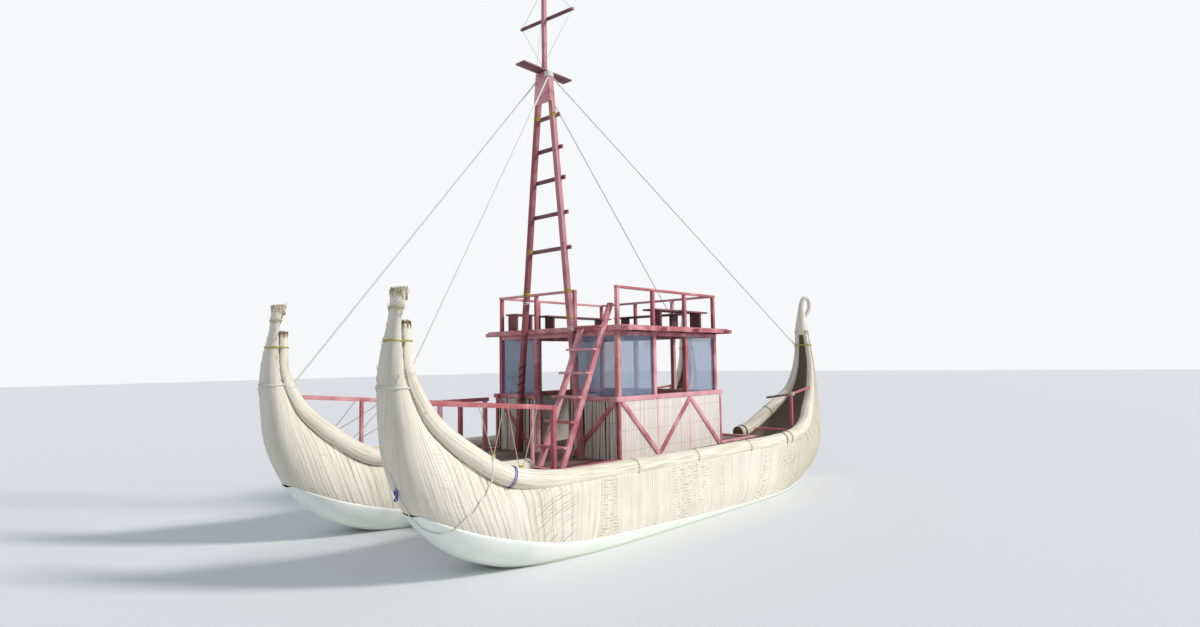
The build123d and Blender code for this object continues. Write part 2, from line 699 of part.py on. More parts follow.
single_parts = {
    "cross_beams": cross_beams,
    "deck_planks": deck_planks,
    "deck_kerbs": deck_kerbs,
    "cabin_posts": cabin_posts,
    "wall_plates": wall_plates,
    "cabin_sills": cabin_sills,
    "front_reed_walls": front_reed_walls,
    "aft_reed_wall": aft_reed_wall,
    "front_braces": front_braces,
    "side_panes": side_panes,
    "front_panes": front_panes,
    "roof_beams": roof_beams,
    "roof_planks": roof_planks,
    "roof_fascias": roof_fascias,
    "upper_rail_posts": upper_rail_posts,
    "upper_rails": upper_rails,
    "upper_benches": upper_benches,
    "ladder_treads": ladder_treads,
    "ladder_stringers": ladder_stringers,
    "mast_legs": mast_legs,
    "mast_rungs": mast_rungs,
    "masthead_panel": masthead_panel,
    "crosstree": crosstree,
    "topmast": topmast,
    "yard": yard,
    "forestays": forestays,
    "backstays": backstays,
    "foredeck_posts": foredeck_posts,
    "starboard_deck_rail": starboard_deck_rail,
    "starboard_bow_post": starboard_bow_post,
}
for name, sub_part in single_parts.items():
    export(sub_part.part, name)
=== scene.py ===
# %% [markdown]
# # A twin-hulled reed boat
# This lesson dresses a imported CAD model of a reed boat. The model is the fixed frame: every piece made
# here rides on it, stands where the frame has it, and stays inside its box. Lengths are in metres,
# X runs forward, Y to port and Z up, and the water is at zero.

import math
import random

import bmesh
import bpy
import numpy as np
from mathutils import Matrix, Vector, noise


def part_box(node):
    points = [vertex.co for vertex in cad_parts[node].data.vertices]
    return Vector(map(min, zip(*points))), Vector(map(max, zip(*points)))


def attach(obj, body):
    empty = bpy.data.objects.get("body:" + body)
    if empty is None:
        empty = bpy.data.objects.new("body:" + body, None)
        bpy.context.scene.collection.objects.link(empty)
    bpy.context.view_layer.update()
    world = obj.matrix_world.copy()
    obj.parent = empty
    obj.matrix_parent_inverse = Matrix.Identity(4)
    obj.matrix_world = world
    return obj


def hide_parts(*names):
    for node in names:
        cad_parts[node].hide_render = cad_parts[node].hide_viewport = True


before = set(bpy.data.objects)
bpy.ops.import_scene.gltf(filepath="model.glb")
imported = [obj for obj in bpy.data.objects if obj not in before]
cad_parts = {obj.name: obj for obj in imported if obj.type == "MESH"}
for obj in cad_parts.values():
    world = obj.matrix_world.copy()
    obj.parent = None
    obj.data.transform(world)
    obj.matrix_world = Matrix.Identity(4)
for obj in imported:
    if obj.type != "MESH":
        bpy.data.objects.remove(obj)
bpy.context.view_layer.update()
rng = random.Random(11)
# The noise that bends the boards would otherwise start from the clock
noise.seed_set(11)
print("the frame has", len(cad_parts), "nodes")

# %% [markdown]
# ## Colours and shader arithmetic
# A finish is a small tree of nodes. Wiring it by hand hides the idea, so a socket is wrapped in a class
# that knows arithmetic: writing `dust * 0.4 + grain` adds the Math nodes. Colours are written as people
# mix paint, in screen values, and turned into the linear values that light needs.


# %% A colour from its screen value
def paint_mix(screen):
    """Linear colour from a screen value such as 0xC08070."""
    parts = [((screen >> shift) & 255) / 255 for shift in (16, 8, 0)]
    return tuple(p / 12.92 if p <= 0.04045 else ((p + 0.055) / 1.055) ** 2.4 for p in parts) + (1.0,)


# %% A socket that knows arithmetic
def operator(operation, swapped=False):
    """What a sign such as + stands for: the Math node of that name."""
    def apply(wire, other):
        first, second = (other, wire) if swapped else (wire, other)
        return wire.finish.node("ShaderNodeMath", {"operation": operation}, {0: first, 1: second})
    return apply


class Wire:
    def __init__(self, finish, socket):
        self.finish = finish
        self.socket = socket

    __add__, __radd__ = operator("ADD"), operator("ADD", swapped=True)
    __sub__, __rsub__ = operator("SUBTRACT"), operator("SUBTRACT", swapped=True)
    __mul__, __truediv__ = operator("MULTIPLY"), operator("DIVIDE")


# %% A finish is a material with helpers
class Finish:
    def __init__(self, name, roughness=0.6, **constants):
        self.material = bpy.data.materials.new(name)
        self.material.use_nodes = True
        self.tree = self.material.node_tree
        self.shader = self.tree.nodes["Principled BSDF"]
        self.shader.inputs["Roughness"].default_value = roughness
        for socket, value in constants.items():
            self.shader.inputs[socket.replace("_", " ")].default_value = value

    def node(self, kind, settings=None, sockets=None, output=0):
        """Any node: its settings first, then the values or wires of its sockets."""
        made = self.tree.nodes.new(kind)
        for setting, value in (settings or {}).items():
            setattr(made, setting, value)
        for socket, value in (sockets or {}).items():
            if isinstance(value, Wire):
                self.tree.links.new(value.socket, made.inputs[socket])
            else:
                made.inputs[socket].default_value = value
        return Wire(self, made.outputs[output])

    def feed(self, socket, wire):
        self.tree.links.new(wire.socket, self.shader.inputs[socket])

    def split(self, vector):
        """A vector's three parts."""
        first = self.node("ShaderNodeSeparateXYZ", None, {0: vector})
        return [Wire(self, output) for output in first.socket.node.outputs]

    def laid(self):
        """Metres along and across the reeds or the grain, from the piece's own map."""
        lay = self.node("ShaderNodeUVMap", {"uv_map": "lay"})
        return lay, *self.split(lay)[:2]

    def place(self):
        """Where the surface is, in metres."""
        return self.node("ShaderNodeTexCoord", output=3)

    def noise(self, vector, scale, detail=3.0, roughness=0.55):
        return self.node("ShaderNodeTexNoise", None,
                         {"Vector": vector, "Scale": scale, "Detail": detail, "Roughness": roughness})

    def streaks(self, vector, stretch, detail):
        """Noise drawn out by a different amount in each direction."""
        drawn = self.node("ShaderNodeVectorMath", {"operation": "MULTIPLY"}, {0: vector, 1: stretch})
        return self.noise(drawn, 1.0, detail)

    def fold(self, wire):
        """Up to a half and back to 0, once for every whole number."""
        return self.node("ShaderNodeMath", {"operation": "PINGPONG"}, {0: wire, 1: 0.5})

    def tone(self):
        """A number of its own for each board or reed."""
        return self.node("ShaderNodeAttribute", {"attribute_name": "tone"}, output=2)

    def between(self, wire, low, high):
        """0 below low, 1 above high, and a smooth climb between them."""
        return self.node("ShaderNodeMapRange", {"interpolation_type": "SMOOTHSTEP"},
                         {"Value": wire, "From Min": low, "From Max": high})

    def coats(self, ground, *layers):
        """A ground colour, and over it each layer's colour where its mask lets it through."""
        shade = paint_mix(ground)
        for mask, colour in layers:
            shade = self.node("ShaderNodeMix", {"data_type": "RGBA"},
                              {0: mask, 6: shade, 7: paint_mix(colour)}, output=2)
        return shade

    def done(self, colour, relief, depth, roughness=None):
        """Feed the shader its colour, its relief and, if it varies, its roughness."""
        self.feed("Base Color", colour)
        self.feed("Normal", self.node("ShaderNodeBump", None,
                                      {"Height": relief, "Distance": depth, "Strength": 1.0}))
        if roughness:
            self.feed("Roughness", roughness)
        return self.material


print("a Wire adds Math nodes, a Finish holds a material")

# %% [markdown]
# ## Finishes
# The boat is made of three kinds of stuff. Cut reeds are pale straw, never two the same, with cords
# and broken ends that show brown. The timber is painted brick red, faded to pink where the sun
# reaches it and chipped at its edges. The floats below are a smooth white shell.


# %% The reed skin of the hulls
rib_pitch = 0.045


def reed_skin():
    finish = Finish("reed_skin")
    lay, across, along = finish.laid()
    position = finish.place()
    forward = finish.split(position)[0]
    stern = finish.between(0 - forward, 1.6, 3.6)
    bow = finish.between(forward, 3.0, 4.2)
    line = across / rib_pitch
    number = finish.node("ShaderNodeMath", {"operation": "FLOOR"}, {0: line})
    own = finish.node("ShaderNodeTexWhiteNoise", {"noise_dimensions": "1D"}, {"W": number})
    fibre = finish.streaks(lay, (70, 1.6, 1), 4)
    patch = finish.noise(position, 1.7, 4)
    wobble = finish.noise(position, 9.0, 3)
    groove = 1 - finish.between(finish.fold(line + (wobble - 0.5) * 0.25), 0.0, 0.13)
    fine = finish.fold(across / 0.026 + wobble * 0.3)
    seam = (1 - finish.between(fine, 0.03, 0.2)) * finish.between(fibre, 0.36, 0.56)
    # Short crosswise ties show brown, in columns down the skin
    column = finish.streaks(lay, (2.6, 0.35, 1), 1)
    rung = finish.fold(along / 0.042 + wobble * 1.2)
    speck = finish.streaks(lay, (11, 30, 1), 2)
    ties = finish.between(column, 0.46, 0.56) * (1 - finish.between(rung, 0.05, 0.17))
    ties = ties * finish.between(speck, 0.47, 0.58) * (1 - bow * 0.7)
    straw = finish.coats(
        0xF0ECDE, (own * 0.6, 0xE0D9C6), (finish.between(patch, 0.45, 0.75) * 0.3, 0xCFC9B5),
        (finish.between(fibre, 0.5, 0.7) * (0.28 + stern * 0.45), 0x9A8F76),
        (groove * (0.14 + stern * 0.5), 0x6B5F49),
        (seam * (0.13 + bow * 0.30 + stern * 0.25), 0x6B6250), (stern * 0.4, 0xA89A7C),
        (ties * 0.62, 0x8A6454))
    relief = fibre * 0.5 + (1 - groove) * 0.5 - ties * 0.4
    return finish.done(straw, relief, 0.004, 0.68 + fibre * 0.2)


# %% The rolls and horns
def bundle_straw():
    finish = Finish("bundle_straw")
    lay, along, across = finish.laid()
    position = finish.place()
    stern = finish.between(0 - finish.split(position)[0], 2.6, 4.0)
    fibre = finish.streaks(lay, (1.6, 60, 1), 4)
    broad = finish.streaks(lay, (0.5, 14, 1), 2)
    patch = finish.noise(position, 2.4, 3)
    spots = finish.noise(position, 17, 2)
    straw = finish.coats(
        0xEFEADB, (finish.between(fibre, 0.4, 0.68), 0xCFC6AE),
        (finish.between(broad, 0.55, 0.72) * (0.3 + stern * 0.3), 0xA99C7C),
        (finish.between(patch, 0.52, 0.8) * 0.25, 0xA59A80),
        (finish.between(spots, 0.69, 0.75) * 0.4, 0xA8683C))
    return finish.done(straw, fibre * 0.6 + broad * 0.4, 0.005, 0.6 + fibre * 0.25)


# %% Cut ends of a bundle, where each reed shows as a small ring
def cut_reeds():
    finish = Finish("cut_reeds", 0.85)
    cells = finish.node("ShaderNodeTexVoronoi", {"feature": "F1"},
                        {"Vector": finish.place(), "Scale": 110.0})
    ring = finish.between(cells, 0.12, 0.45)
    shade = finish.between(finish.noise(finish.place(), 20, 3), 0.45, 0.65)
    return finish.done(finish.coats(0xB79A66, (ring, 0x54422C), (shade * 0.6, 0x8D7347)), 1 - ring, 0.006)


# %% Loose reeds, each with its own tone
def single_reed(name, pale, dark, tip):
    finish = Finish(name)
    streak = finish.streaks(finish.laid()[0], (2.5, 260, 1), 3)
    blotch = finish.noise(finish.place(), 6.0, 3)
    straw = finish.coats(pale, (finish.tone(), dark), (finish.between(streak, 0.45, 0.7) * 0.5, tip),
                         (finish.between(blotch, 0.55, 0.75) * 0.35, dark))
    return finish.done(straw, streak, 0.0015, 0.55 + streak * 0.25)


# %% The white shell of the floats
def float_shell():
    finish = Finish("float_shell", Coat_Weight=0.25, Coat_Roughness=0.2)
    cloud = finish.noise(finish.place(), 1.3, 5)
    scuff = finish.streaks(finish.laid()[0], (3, 40, 1), 4)
    height = finish.split(finish.place())[2]
    weed = 1 - finish.between(height + (cloud - 0.5) * 0.08, 0.0, 0.05)
    shell = finish.coats(0xF6F8F2, (finish.between(cloud, 0.35, 0.7), 0xE2ECE2),
                         (finish.between(scuff, 0.6, 0.74) * 0.25, 0xB7C4B4), (weed * 0.6, 0xA3B694))
    return finish.done(shell, cloud * 0.5 + scuff * 0.2, 0.004, 0.24 + cloud * 0.3)


# %% Painted timber
def painted_timber(name, fresh, faded, bare, grime, wear=0.5):
    finish = Finish(name)
    lay, along, across = finish.laid()
    grain = finish.streaks(lay, (2.2, 70, 1), 4)
    drip = finish.streaks(lay, (1.1, 16, 1), 3)
    cloud = finish.noise(finish.place(), 3.1, 4)
    flake = finish.noise(finish.place(), 26, 5, 0.7)
    sound = 0.74 - wear * 0.12
    chipped = finish.between(flake + (grain - 0.5) * 0.5, sound, sound + 0.04)
    coat = finish.coats(
        fresh, (finish.between(cloud + (finish.tone() - 0.5) * 0.35, 0.32, 0.72), faded),
        (finish.between(drip, 0.55, 0.78) * 0.45, grime), (finish.between(grain, 0.52, 0.75) * 0.3, grime),
        (chipped, bare))
    relief = grain * 0.35 + (1 - chipped) * 0.35
    return finish.done(coat, relief, 0.0025, 0.45 + grain * 0.25 + chipped * 0.2)


# %% Bare timber
def bare_timber():
    finish = Finish("bare_timber")
    grain = finish.streaks(finish.laid()[0], (1.5, 55, 1), 5)
    cloud = finish.noise(finish.place(), 2.5, 3)
    wood = finish.coats(0x9A8468, (finish.between(grain, 0.35, 0.65), 0x6A553F),
                        (finish.between(cloud + finish.tone() * 0.3, 0.5, 0.9) * 0.5, 0x7F7A70))
    return finish.done(wood, grain, 0.003, 0.65 + grain * 0.2)


# %% The clear sheets in the windows
def clear_sheet():
    finish = Finish("clear_sheet", Coat_Weight=0.4, Coat_Roughness=0.08)
    dust = finish.noise(finish.place(), 2.2, 4)
    rub = finish.streaks(finish.place(), (3, 3, 30), 3)
    haze = finish.between(dust, 0.3, 0.75)
    finish.feed("Alpha", 0.46 + haze * 0.1 + finish.between(rub, 0.6, 0.8) * 0.06)
    return finish.done(finish.coats(0x6C83A6, (haze, 0x8FA2BC)), dust, 0.004, 0.08 + haze * 0.2)


# %% Cords, laid up from strands
def cord_finish(name, pale, dark):
    finish = Finish(name)
    lay, along, across = finish.laid()
    strands = finish.fold(along * 60 + across * 60)
    dirt = finish.noise(finish.place(), 18, 3)
    fibre = finish.coats(dark, (finish.between(strands, 0.05, 0.4), pale),
                         (finish.between(dirt, 0.5, 0.75) * 0.4, dark))
    return finish.done(fibre, strands, 0.002, 0.6 + dirt * 0.2)


# %% Mix the finishes
skin_finish = reed_skin()
bundle_finish = bundle_straw()
cut_finish = cut_reeds()
loose_finish = single_reed("loose_reed", 0xE4DBC2, 0xA08F6A, 0x7A6543)
wall_finish = single_reed("wall_reed", 0xFFFBF7, 0xF3E9E1, 0xD9C6BB)
brown_finish = single_reed("brown_reed", 0xB79A6A, 0x6B5236, 0x4A3722)
# The straw of the sunken floor between a hull's rolls is dark: painted shade for the trough
trough_shade_straw = single_reed("trough_straw_painted_shade", 0x9A8C74, 0x62554A, 0x473C32)
coarse_finish = single_reed("coarse_reed", 0xFFFAF0, 0xD6CABA, 0x6A5A4C)
# A near-black sheet for the front mats' core: painted shade that shows in the gaps between the reeds
core_shade_sheet = single_reed("painted_shade_core", 0x4A4038, 0x2C2520, 0x1C1713)
float_finish = float_shell()
red_finish = painted_timber("red_paint", 0xAE5C63, 0xDEA2A8, 0xB49D8A, 0x643A42)
# A darker copy of the red paint for the mast's legs and topmast: painted shade on their faces
shaded_mast_timber = painted_timber("mast_red_painted_shade", 0x8A444B, 0xB87A80, 0x9C8876, 0x4C2A30)
# A darker copy of the red paint: painted shade for the upper benches, mast rungs, crosstree and yard
painted_shade_timber = painted_timber("painted_shade_red", 0x5E3036, 0x84525A, 0x8E7B6A, 0x331D22)
stud_finish = painted_timber("stud_paint", 0xD9B4B2, 0xEBD3CF, 0xE8DCD2, 0xB98F8E, 0.8)
deck_finish = painted_timber("deck_paint", 0x4F3A38, 0x745A52, 0x8C7860, 0x2E2322, 0.9)
bare_finish = bare_timber()
sheet_finish = clear_sheet()
white_cord = cord_finish("white_cord", 0xF6F6F2, 0xC9C7BF)
yellow_cord = cord_finish("yellow_cord", 0xD9C63C, 0x8C8428)
tan_cord = cord_finish("tan_cord", 0xC9A766, 0x7E6236)
pale_cord = cord_finish("pale_cord", 0xE2D8B8, 0xA39570)
blue_cord = cord_finish("blue_cord", 0x3C55C8, 0x1D2A6E)
dark_cord = cord_finish("dark_cord", 0x3A3430, 0x191614)
print(len(bpy.data.materials), "materials in the file")

# %% [markdown]
# ## Helpers for meshes
# Most pieces are one of two shapes: a sheet of quads wrapped round something, or a board. A grid of
# points covers the first. For the second, the frame's own corners are taken, their sharp arrises are
# planed off, and the board is bent by a millimetre or so, as sawn timber is.


# %% Put a mesh in the scene as a piece of the boat
def put(name, data):
    """A new object in the scene: a mesh, a camera or a lamp."""
    made = bpy.data.objects.new(name, data)
    bpy.context.scene.collection.objects.link(made)
    return made


def add_piece(name, mesh, finishes, nodes=()):
    piece = put(name, mesh)
    for finish in finishes:
        mesh.materials.append(finish)
    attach(piece, "root")
    if nodes:
        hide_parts(*nodes)
    return piece


# %% A growing set of faces with its map, tones and finishes
class Stack:
    def __init__(self):
        self.points = []
        self.faces = []
        self.lay = []
        self.tones = []
        self.finish_numbers = []
        self.count = 0

    def grid(self, points, lay, tone=0.5, finish=0, closed=False, flip=False):
        """Quads over rows of points. closed joins each row's last point to its first."""
        points = np.asarray(points, float)
        rows, across = points.shape[:2]
        start = self.count
        self.points.append(points.reshape(-1, 3))
        self.count += rows * across
        lay = np.asarray(lay, float)
        last = across if closed else across - 1
        r, c = np.meshgrid(np.arange(rows - 1), np.arange(last), indexing="ij")
        c2 = (c + 1) % across
        corners = [(r, c), (r, c2), (r + 1, c2), (r + 1, c)]
        index = np.stack([start + i * across + j for i, j in corners], -1).reshape(-1, 4)
        lay_columns = [c, c + 1, c + 1, c]
        lay_rows = [r, r, r + 1, r + 1]
        uv = np.stack([lay[i, j] for i, j in zip(lay_rows, lay_columns)], -2).reshape(-1, 4, 2)
        if flip:
            index = index[:, ::-1]
            uv = uv[:, ::-1]
        self.faces.append(index)
        self.lay.append(uv)
        self.tones.append(np.full(rows * across, tone))
        self.finish_numbers.append(np.full(len(index), finish))

    def fan(self, rim, middle, finish=0, flip=False):
        """Close a ring with a fan of slim quads round its middle."""
        rim = np.asarray(rim, float)
        inner = middle + (rim - middle) * 0.02
        rows = [rim, middle + (rim - middle) * 0.6, inner]
        lay = np.zeros((3, len(rim) + 1, 2))
        self.grid(rows, lay, 0.5, finish, closed=True, flip=flip)
        core = np.array([inner, np.repeat(np.asarray(middle, float)[None], len(rim), 0)])
        self.grid(core, lay[:2], 0.5, finish, closed=True, flip=flip)

    def mesh(self, name, smooth=True):
        made = bpy.data.meshes.new(name)
        points = np.concatenate(self.points)
        faces = np.concatenate(self.faces)
        made.from_pydata(points.tolist(), [], faces.tolist())
        made.uv_layers.new(name="lay").data.foreach_set("uv", np.concatenate(self.lay).ravel())
        made.attributes.new("tone", "FLOAT", "POINT").data.foreach_set("value", np.concatenate(self.tones))
        made.polygons.foreach_set("material_index", np.concatenate(self.finish_numbers).astype(int))
        made.polygons.foreach_set("use_smooth", np.full(len(faces), smooth))
        tidy = bmesh.new()
        tidy.from_mesh(made)
        bmesh.ops.remove_doubles(tidy, verts=tidy.verts, dist=1e-6)
        tidy.to_mesh(made)
        tidy.free()
        made.update()
        return made


# %% Rings round a line of points
def lengths_along(path):
    """How far along a line of points each of them lies."""
    return np.concatenate([[0], np.cumsum(np.linalg.norm(np.diff(path, axis=0), axis=1))])


def frames_along(path):
    """Two directions square to the line at each of its points, turning as little as they can."""
    path = np.asarray(path, float)
    run = np.gradient(path, axis=0)
    run /= np.linalg.norm(run, axis=1)[:, None]
    side = np.cross(run[0], (0, 0, 1) if abs(run[0][2]) < 0.9 else (0, 1, 0))
    sides = []
    for direction in run:
        side = side - direction * side.dot(direction)
        side /= np.linalg.norm(side)
        sides.append(side)
    sides = np.array(sides)
    return sides, np.cross(run, sides)


def tube_rings(path, radii, around, ripple=None):
    path = np.asarray(path, float)
    radii = np.broadcast_to(np.asarray(radii, float), len(path))
    sides, ups = frames_along(path)
    turn = np.linspace(0, 2 * math.pi, around, endpoint=False)
    size = radii[:, None] * (np.ones(around) if ripple is None else ripple(turn))
    ring = np.cos(turn)[None, :, None] * sides[:, None] + np.sin(turn)[None, :, None] * ups[:, None]
    girth = 2 * math.pi * float(radii.mean()) * np.linspace(0, 1, around + 1)
    lay = np.stack(np.broadcast_arrays(lengths_along(path)[:, None], girth[None]), -1)
    return path[:, None] + ring * size[..., None], lay


def add_tube(stack, path, radii, around=6, tone=0.5, finish=0, ends=True, ripple=None):
    rings, lay = tube_rings(path, radii, around, ripple)
    lay = lay + np.array([rng.uniform(0, 5), rng.uniform(0, 5)])
    stack.grid(rings, lay, tone, finish, closed=True)
    if ends:
        stack.fan(rings[0], np.mean(rings[0], axis=0), finish, flip=True)
        stack.fan(rings[-1], np.mean(rings[-1], axis=0), finish)


# %% Bodies of a mesh, always found in the same order
def body_of(seed):
    """All faces joined to one face."""
    body = {seed: True}
    grow = [seed]
    while grow:
        for edge in grow.pop().edges:
            for face in edge.link_faces:
                if face not in body:
                    body[face] = True
                    grow.append(face)
    return list(body)


def parts_of(body, kind):
    """The verts or edges of a body's faces, each once."""
    return list(dict.fromkeys(part for face in body for part in getattr(face, kind)))


def bodies(mesh):
    """A mesh's separate bodies, as lists of faces."""
    found, seen = [], set()
    for face in mesh.faces:
        if face not in seen:
            found.append(body_of(face))
            seen.update(found[-1])
    return found


# %% Boards from the frame's own corners
bend_gap = 0.22
crease_angle = 0.6


def plane_board(mesh, faces, bevel, wander):
    """Soften one board's arrises, cut it crosswise so that it can bend, and map its grain."""
    edges = parts_of(faces, "edges")
    longest = max(edges, key=lambda e: e.calc_length())
    grain = (longest.verts[1].co - longest.verts[0].co).normalized()
    reach = [v.co.dot(grain) for v in parts_of(faces, "verts")]
    low, high = min(reach), max(reach)
    sharp = [e for e in edges if len(e.link_faces) == 2 and e.calc_face_angle(0) > 0.35]
    shaped = bmesh.ops.bevel(mesh, geom=sharp, offset=bevel, segments=2, profile=0.6, affect="EDGES",
                             clamp_overlap=True)
    board = body_of(next(f for f in [*faces, *shaped["faces"]] if f.is_valid))
    cuts = max(1, int((high - low) / bend_gap))
    for i in range(1, cuts):
        middle = grain * (low + (high - low) * i / cuts)
        geometry = board + parts_of(board, "edges") + parts_of(board, "verts")
        bmesh.ops.bisect_plane(mesh, geom=geometry, plane_co=middle, plane_no=grain)
        board = body_of(next(f for f in board if f.is_valid))
    lay = mesh.loops.layers.uv.verify()
    own = mesh.verts.layers.float.get("tone") or mesh.verts.layers.float.new("tone")
    shift_u, shift_v, tone = rng.uniform(0, 9), rng.uniform(0, 9), rng.random()
    for face in board:
        level = face.normal.cross(grain)
        if level.length < 0.3:
            level = grain.orthogonal()
        level.normalize()
        for loop in face.loops:
            place = loop.vert.co
            loop[lay].uv = (place.dot(grain) + shift_u, place.dot(level) + shift_v)
    for vert in parts_of(board, "verts"):
        push = noise.noise_vector(vert.co * 2.3 + Vector((shift_u, shift_v, 0))) * wander
        vert.co += push - grain * push.dot(grain)
        vert[own] = tone


def timber_piece(name, mesh, finish, nodes=(), bevel=0.004, wander=0.0016, box=None, smooth=True):
    """Plane every board of a mesh, keep it inside a box if one is given, and add it as a piece."""
    for body in bodies(mesh):
        plane_board(mesh, body, bevel, wander)
    if box:
        for vert in mesh.verts:
            vert.co = [min(max(c, low), high) for c, low, high in zip(vert.co, *box)]
    for face in mesh.faces:
        face.smooth = smooth
    made = bpy.data.meshes.new(name)
    mesh.to_mesh(made)
    mesh.free()
    if smooth:
        made.set_sharp_from_angle(angle=crease_angle)
    return add_piece(name, made, [finish], nodes)


def boards(node, finish):
    """The frame's node as planed and slightly crooked timber."""
    mesh = bmesh.new()
    mesh.from_mesh(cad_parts[node].data)
    bmesh.ops.remove_doubles(mesh, verts=mesh.verts, dist=1e-5)
    bmesh.ops.dissolve_limit(mesh, angle_limit=0.01, verts=mesh.verts, edges=mesh.edges)
    return timber_piece(node + "_timber", mesh, finish, [node], box=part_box(node))


def add_bar(mesh, low, high):
    """A bar from corner to corner."""
    low, high = Vector(low), Vector(high)
    place = Matrix.Translation((low + high) / 2) @ Matrix.Diagonal((*(high - low), 1))
    bmesh.ops.create_cube(mesh, size=1, matrix=place)


def bars(node, rows, bevel=0.004):
    """A node that is one ring in the frame, made of separate bars."""
    mesh = bmesh.new()
    for low, high in rows:
        add_bar(mesh, low, high)
    return timber_piece(node + "_timber", mesh, red_finish, [node], bevel, box=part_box(node))


print("helpers ready: grids, tubes and boards")

# %% [markdown]
# ## Camera, floor and light
# The camera stands where the photographer stood, ahead of the boat and to port, low over the water.
# Its place was found by matching the hull and cabin corners, so it is written as numbers. The floor
# lies at the waterline, and a broad sun from astern lights the port side as on the lake.

# %% Set up the camera
image_width = 1200
focal_pixels = 701.4
camera_place = Vector((8.999, 7.959, 2.355))
camera_yaw, camera_pitch, camera_roll = (math.radians(a) for a in (221.78, 3.92, -0.86))
ahead = Vector((math.cos(camera_pitch) * math.cos(camera_yaw),
                math.cos(camera_pitch) * math.sin(camera_yaw), math.sin(camera_pitch)))
level = ahead.cross(Vector((0, 0, 1))).normalized()
upright = level.cross(ahead)
right = math.cos(camera_roll) * level + math.sin(camera_roll) * upright
over = math.cos(camera_roll) * upright - math.sin(camera_roll) * level
camera_data = bpy.data.cameras.new("view")
camera_data.sensor_width = 36
camera_data.sensor_fit = "HORIZONTAL"
camera_data.lens = focal_pixels / image_width * camera_data.sensor_width
camera_data.clip_end = 400
camera = put("view", camera_data)
camera.matrix_world = Matrix((right, over, -ahead)).transposed().to_4x4()
camera.location = camera_place
bpy.context.scene.camera = camera
bpy.context.scene.view_settings.view_transform = "Standard"
print("lens", round(camera_data.lens, 2), "mm")


# %% Lay the floor at the waterline
def floor_finish():
    finish = Finish("pale_floor", 0.9)
    finish.shader.inputs["Base Color"].default_value = paint_mix(0xE3E5E6)
    return finish.material


floor_mesh = bpy.data.meshes.new("floor")
floor_reach = 120
floor_mesh.from_pydata([(-floor_reach, -floor_reach, 0), (floor_reach, -floor_reach, 0),
                        (floor_reach, floor_reach, 0), (-floor_reach, floor_reach, 0)], [], [(0, 1, 2, 3)])
floor_mesh.materials.append(floor_finish())
floor = put("floor", floor_mesh)
print("floor at", floor.location.z)

# %% Light the scene
world = bpy.data.worlds.new("studio")
world.use_nodes = True
bpy.context.scene.world = world
sky_nodes = world.node_tree.nodes
sky_links = world.node_tree.links
soft = sky_nodes["Background"]
backdrop = sky_nodes.new("ShaderNodeBackground")
for sky, colour, strength in ((soft, (0.82, 0.88, 1.0, 1), 0.55), (backdrop, (0.93, 0.94, 0.95, 1), 1.0)):
    sky.inputs[0].default_value = colour
    sky.inputs[1].default_value = strength
# The camera sees the backdrop, straight, through a sheet or in a reflection. The soft sky only lights
rays = sky_nodes.new("ShaderNodeLightPath").outputs
seen = rays["Is Camera Ray"]
for kind in ("Is Transmission Ray", "Is Glossy Ray"):
    either = sky_nodes.new("ShaderNodeMath")
    either.operation = "MAXIMUM"
    sky_links.new(seen, either.inputs[0])
    sky_links.new(rays[kind], either.inputs[1])
    seen = either.outputs[0]
chosen = sky_nodes.new("ShaderNodeMixShader")
for socket, output in enumerate((seen, soft.outputs[0], backdrop.outputs[0])):
    sky_links.new(output, chosen.inputs[socket])
sky_links.new(chosen.outputs[0], sky_nodes["World Output"].inputs["Surface"])
key_data = bpy.data.lights.new("key", "SUN")
key_data.energy = 2.55
key_data.angle = math.radians(9)
key_data.color = (1.0, 0.96, 0.9)
key = put("key", key_data)
key.rotation_euler = Vector((-0.5, 0.85, 0.62)).to_track_quat("Z", "Y").to_euler()
print("sun energy", key_data.energy)

# %% [markdown]
# ## The hulls
# Each hull is a crescent of reeds over a white float. The skin's reeds run down the side amidships and
# sweep up towards the tips at either end, where they are gathered. One set of cross-sections, the same
# as the frame's, is run through smooth curves, and the skin, float and rolls are all read from it.

# %% The hull's cross-sections
hull_offset = 1.45
# Half of a section from keel to shoulder, as shares of its half-width and of its depth: across, up
outline = np.array([(0, 0), (0.3, 0.024), (0.57, 0.095), (0.79, 0.215), (0.94, 0.385), (1.0, 0.59),
                    (0.975, 0.8), (0.88, 1.0)])
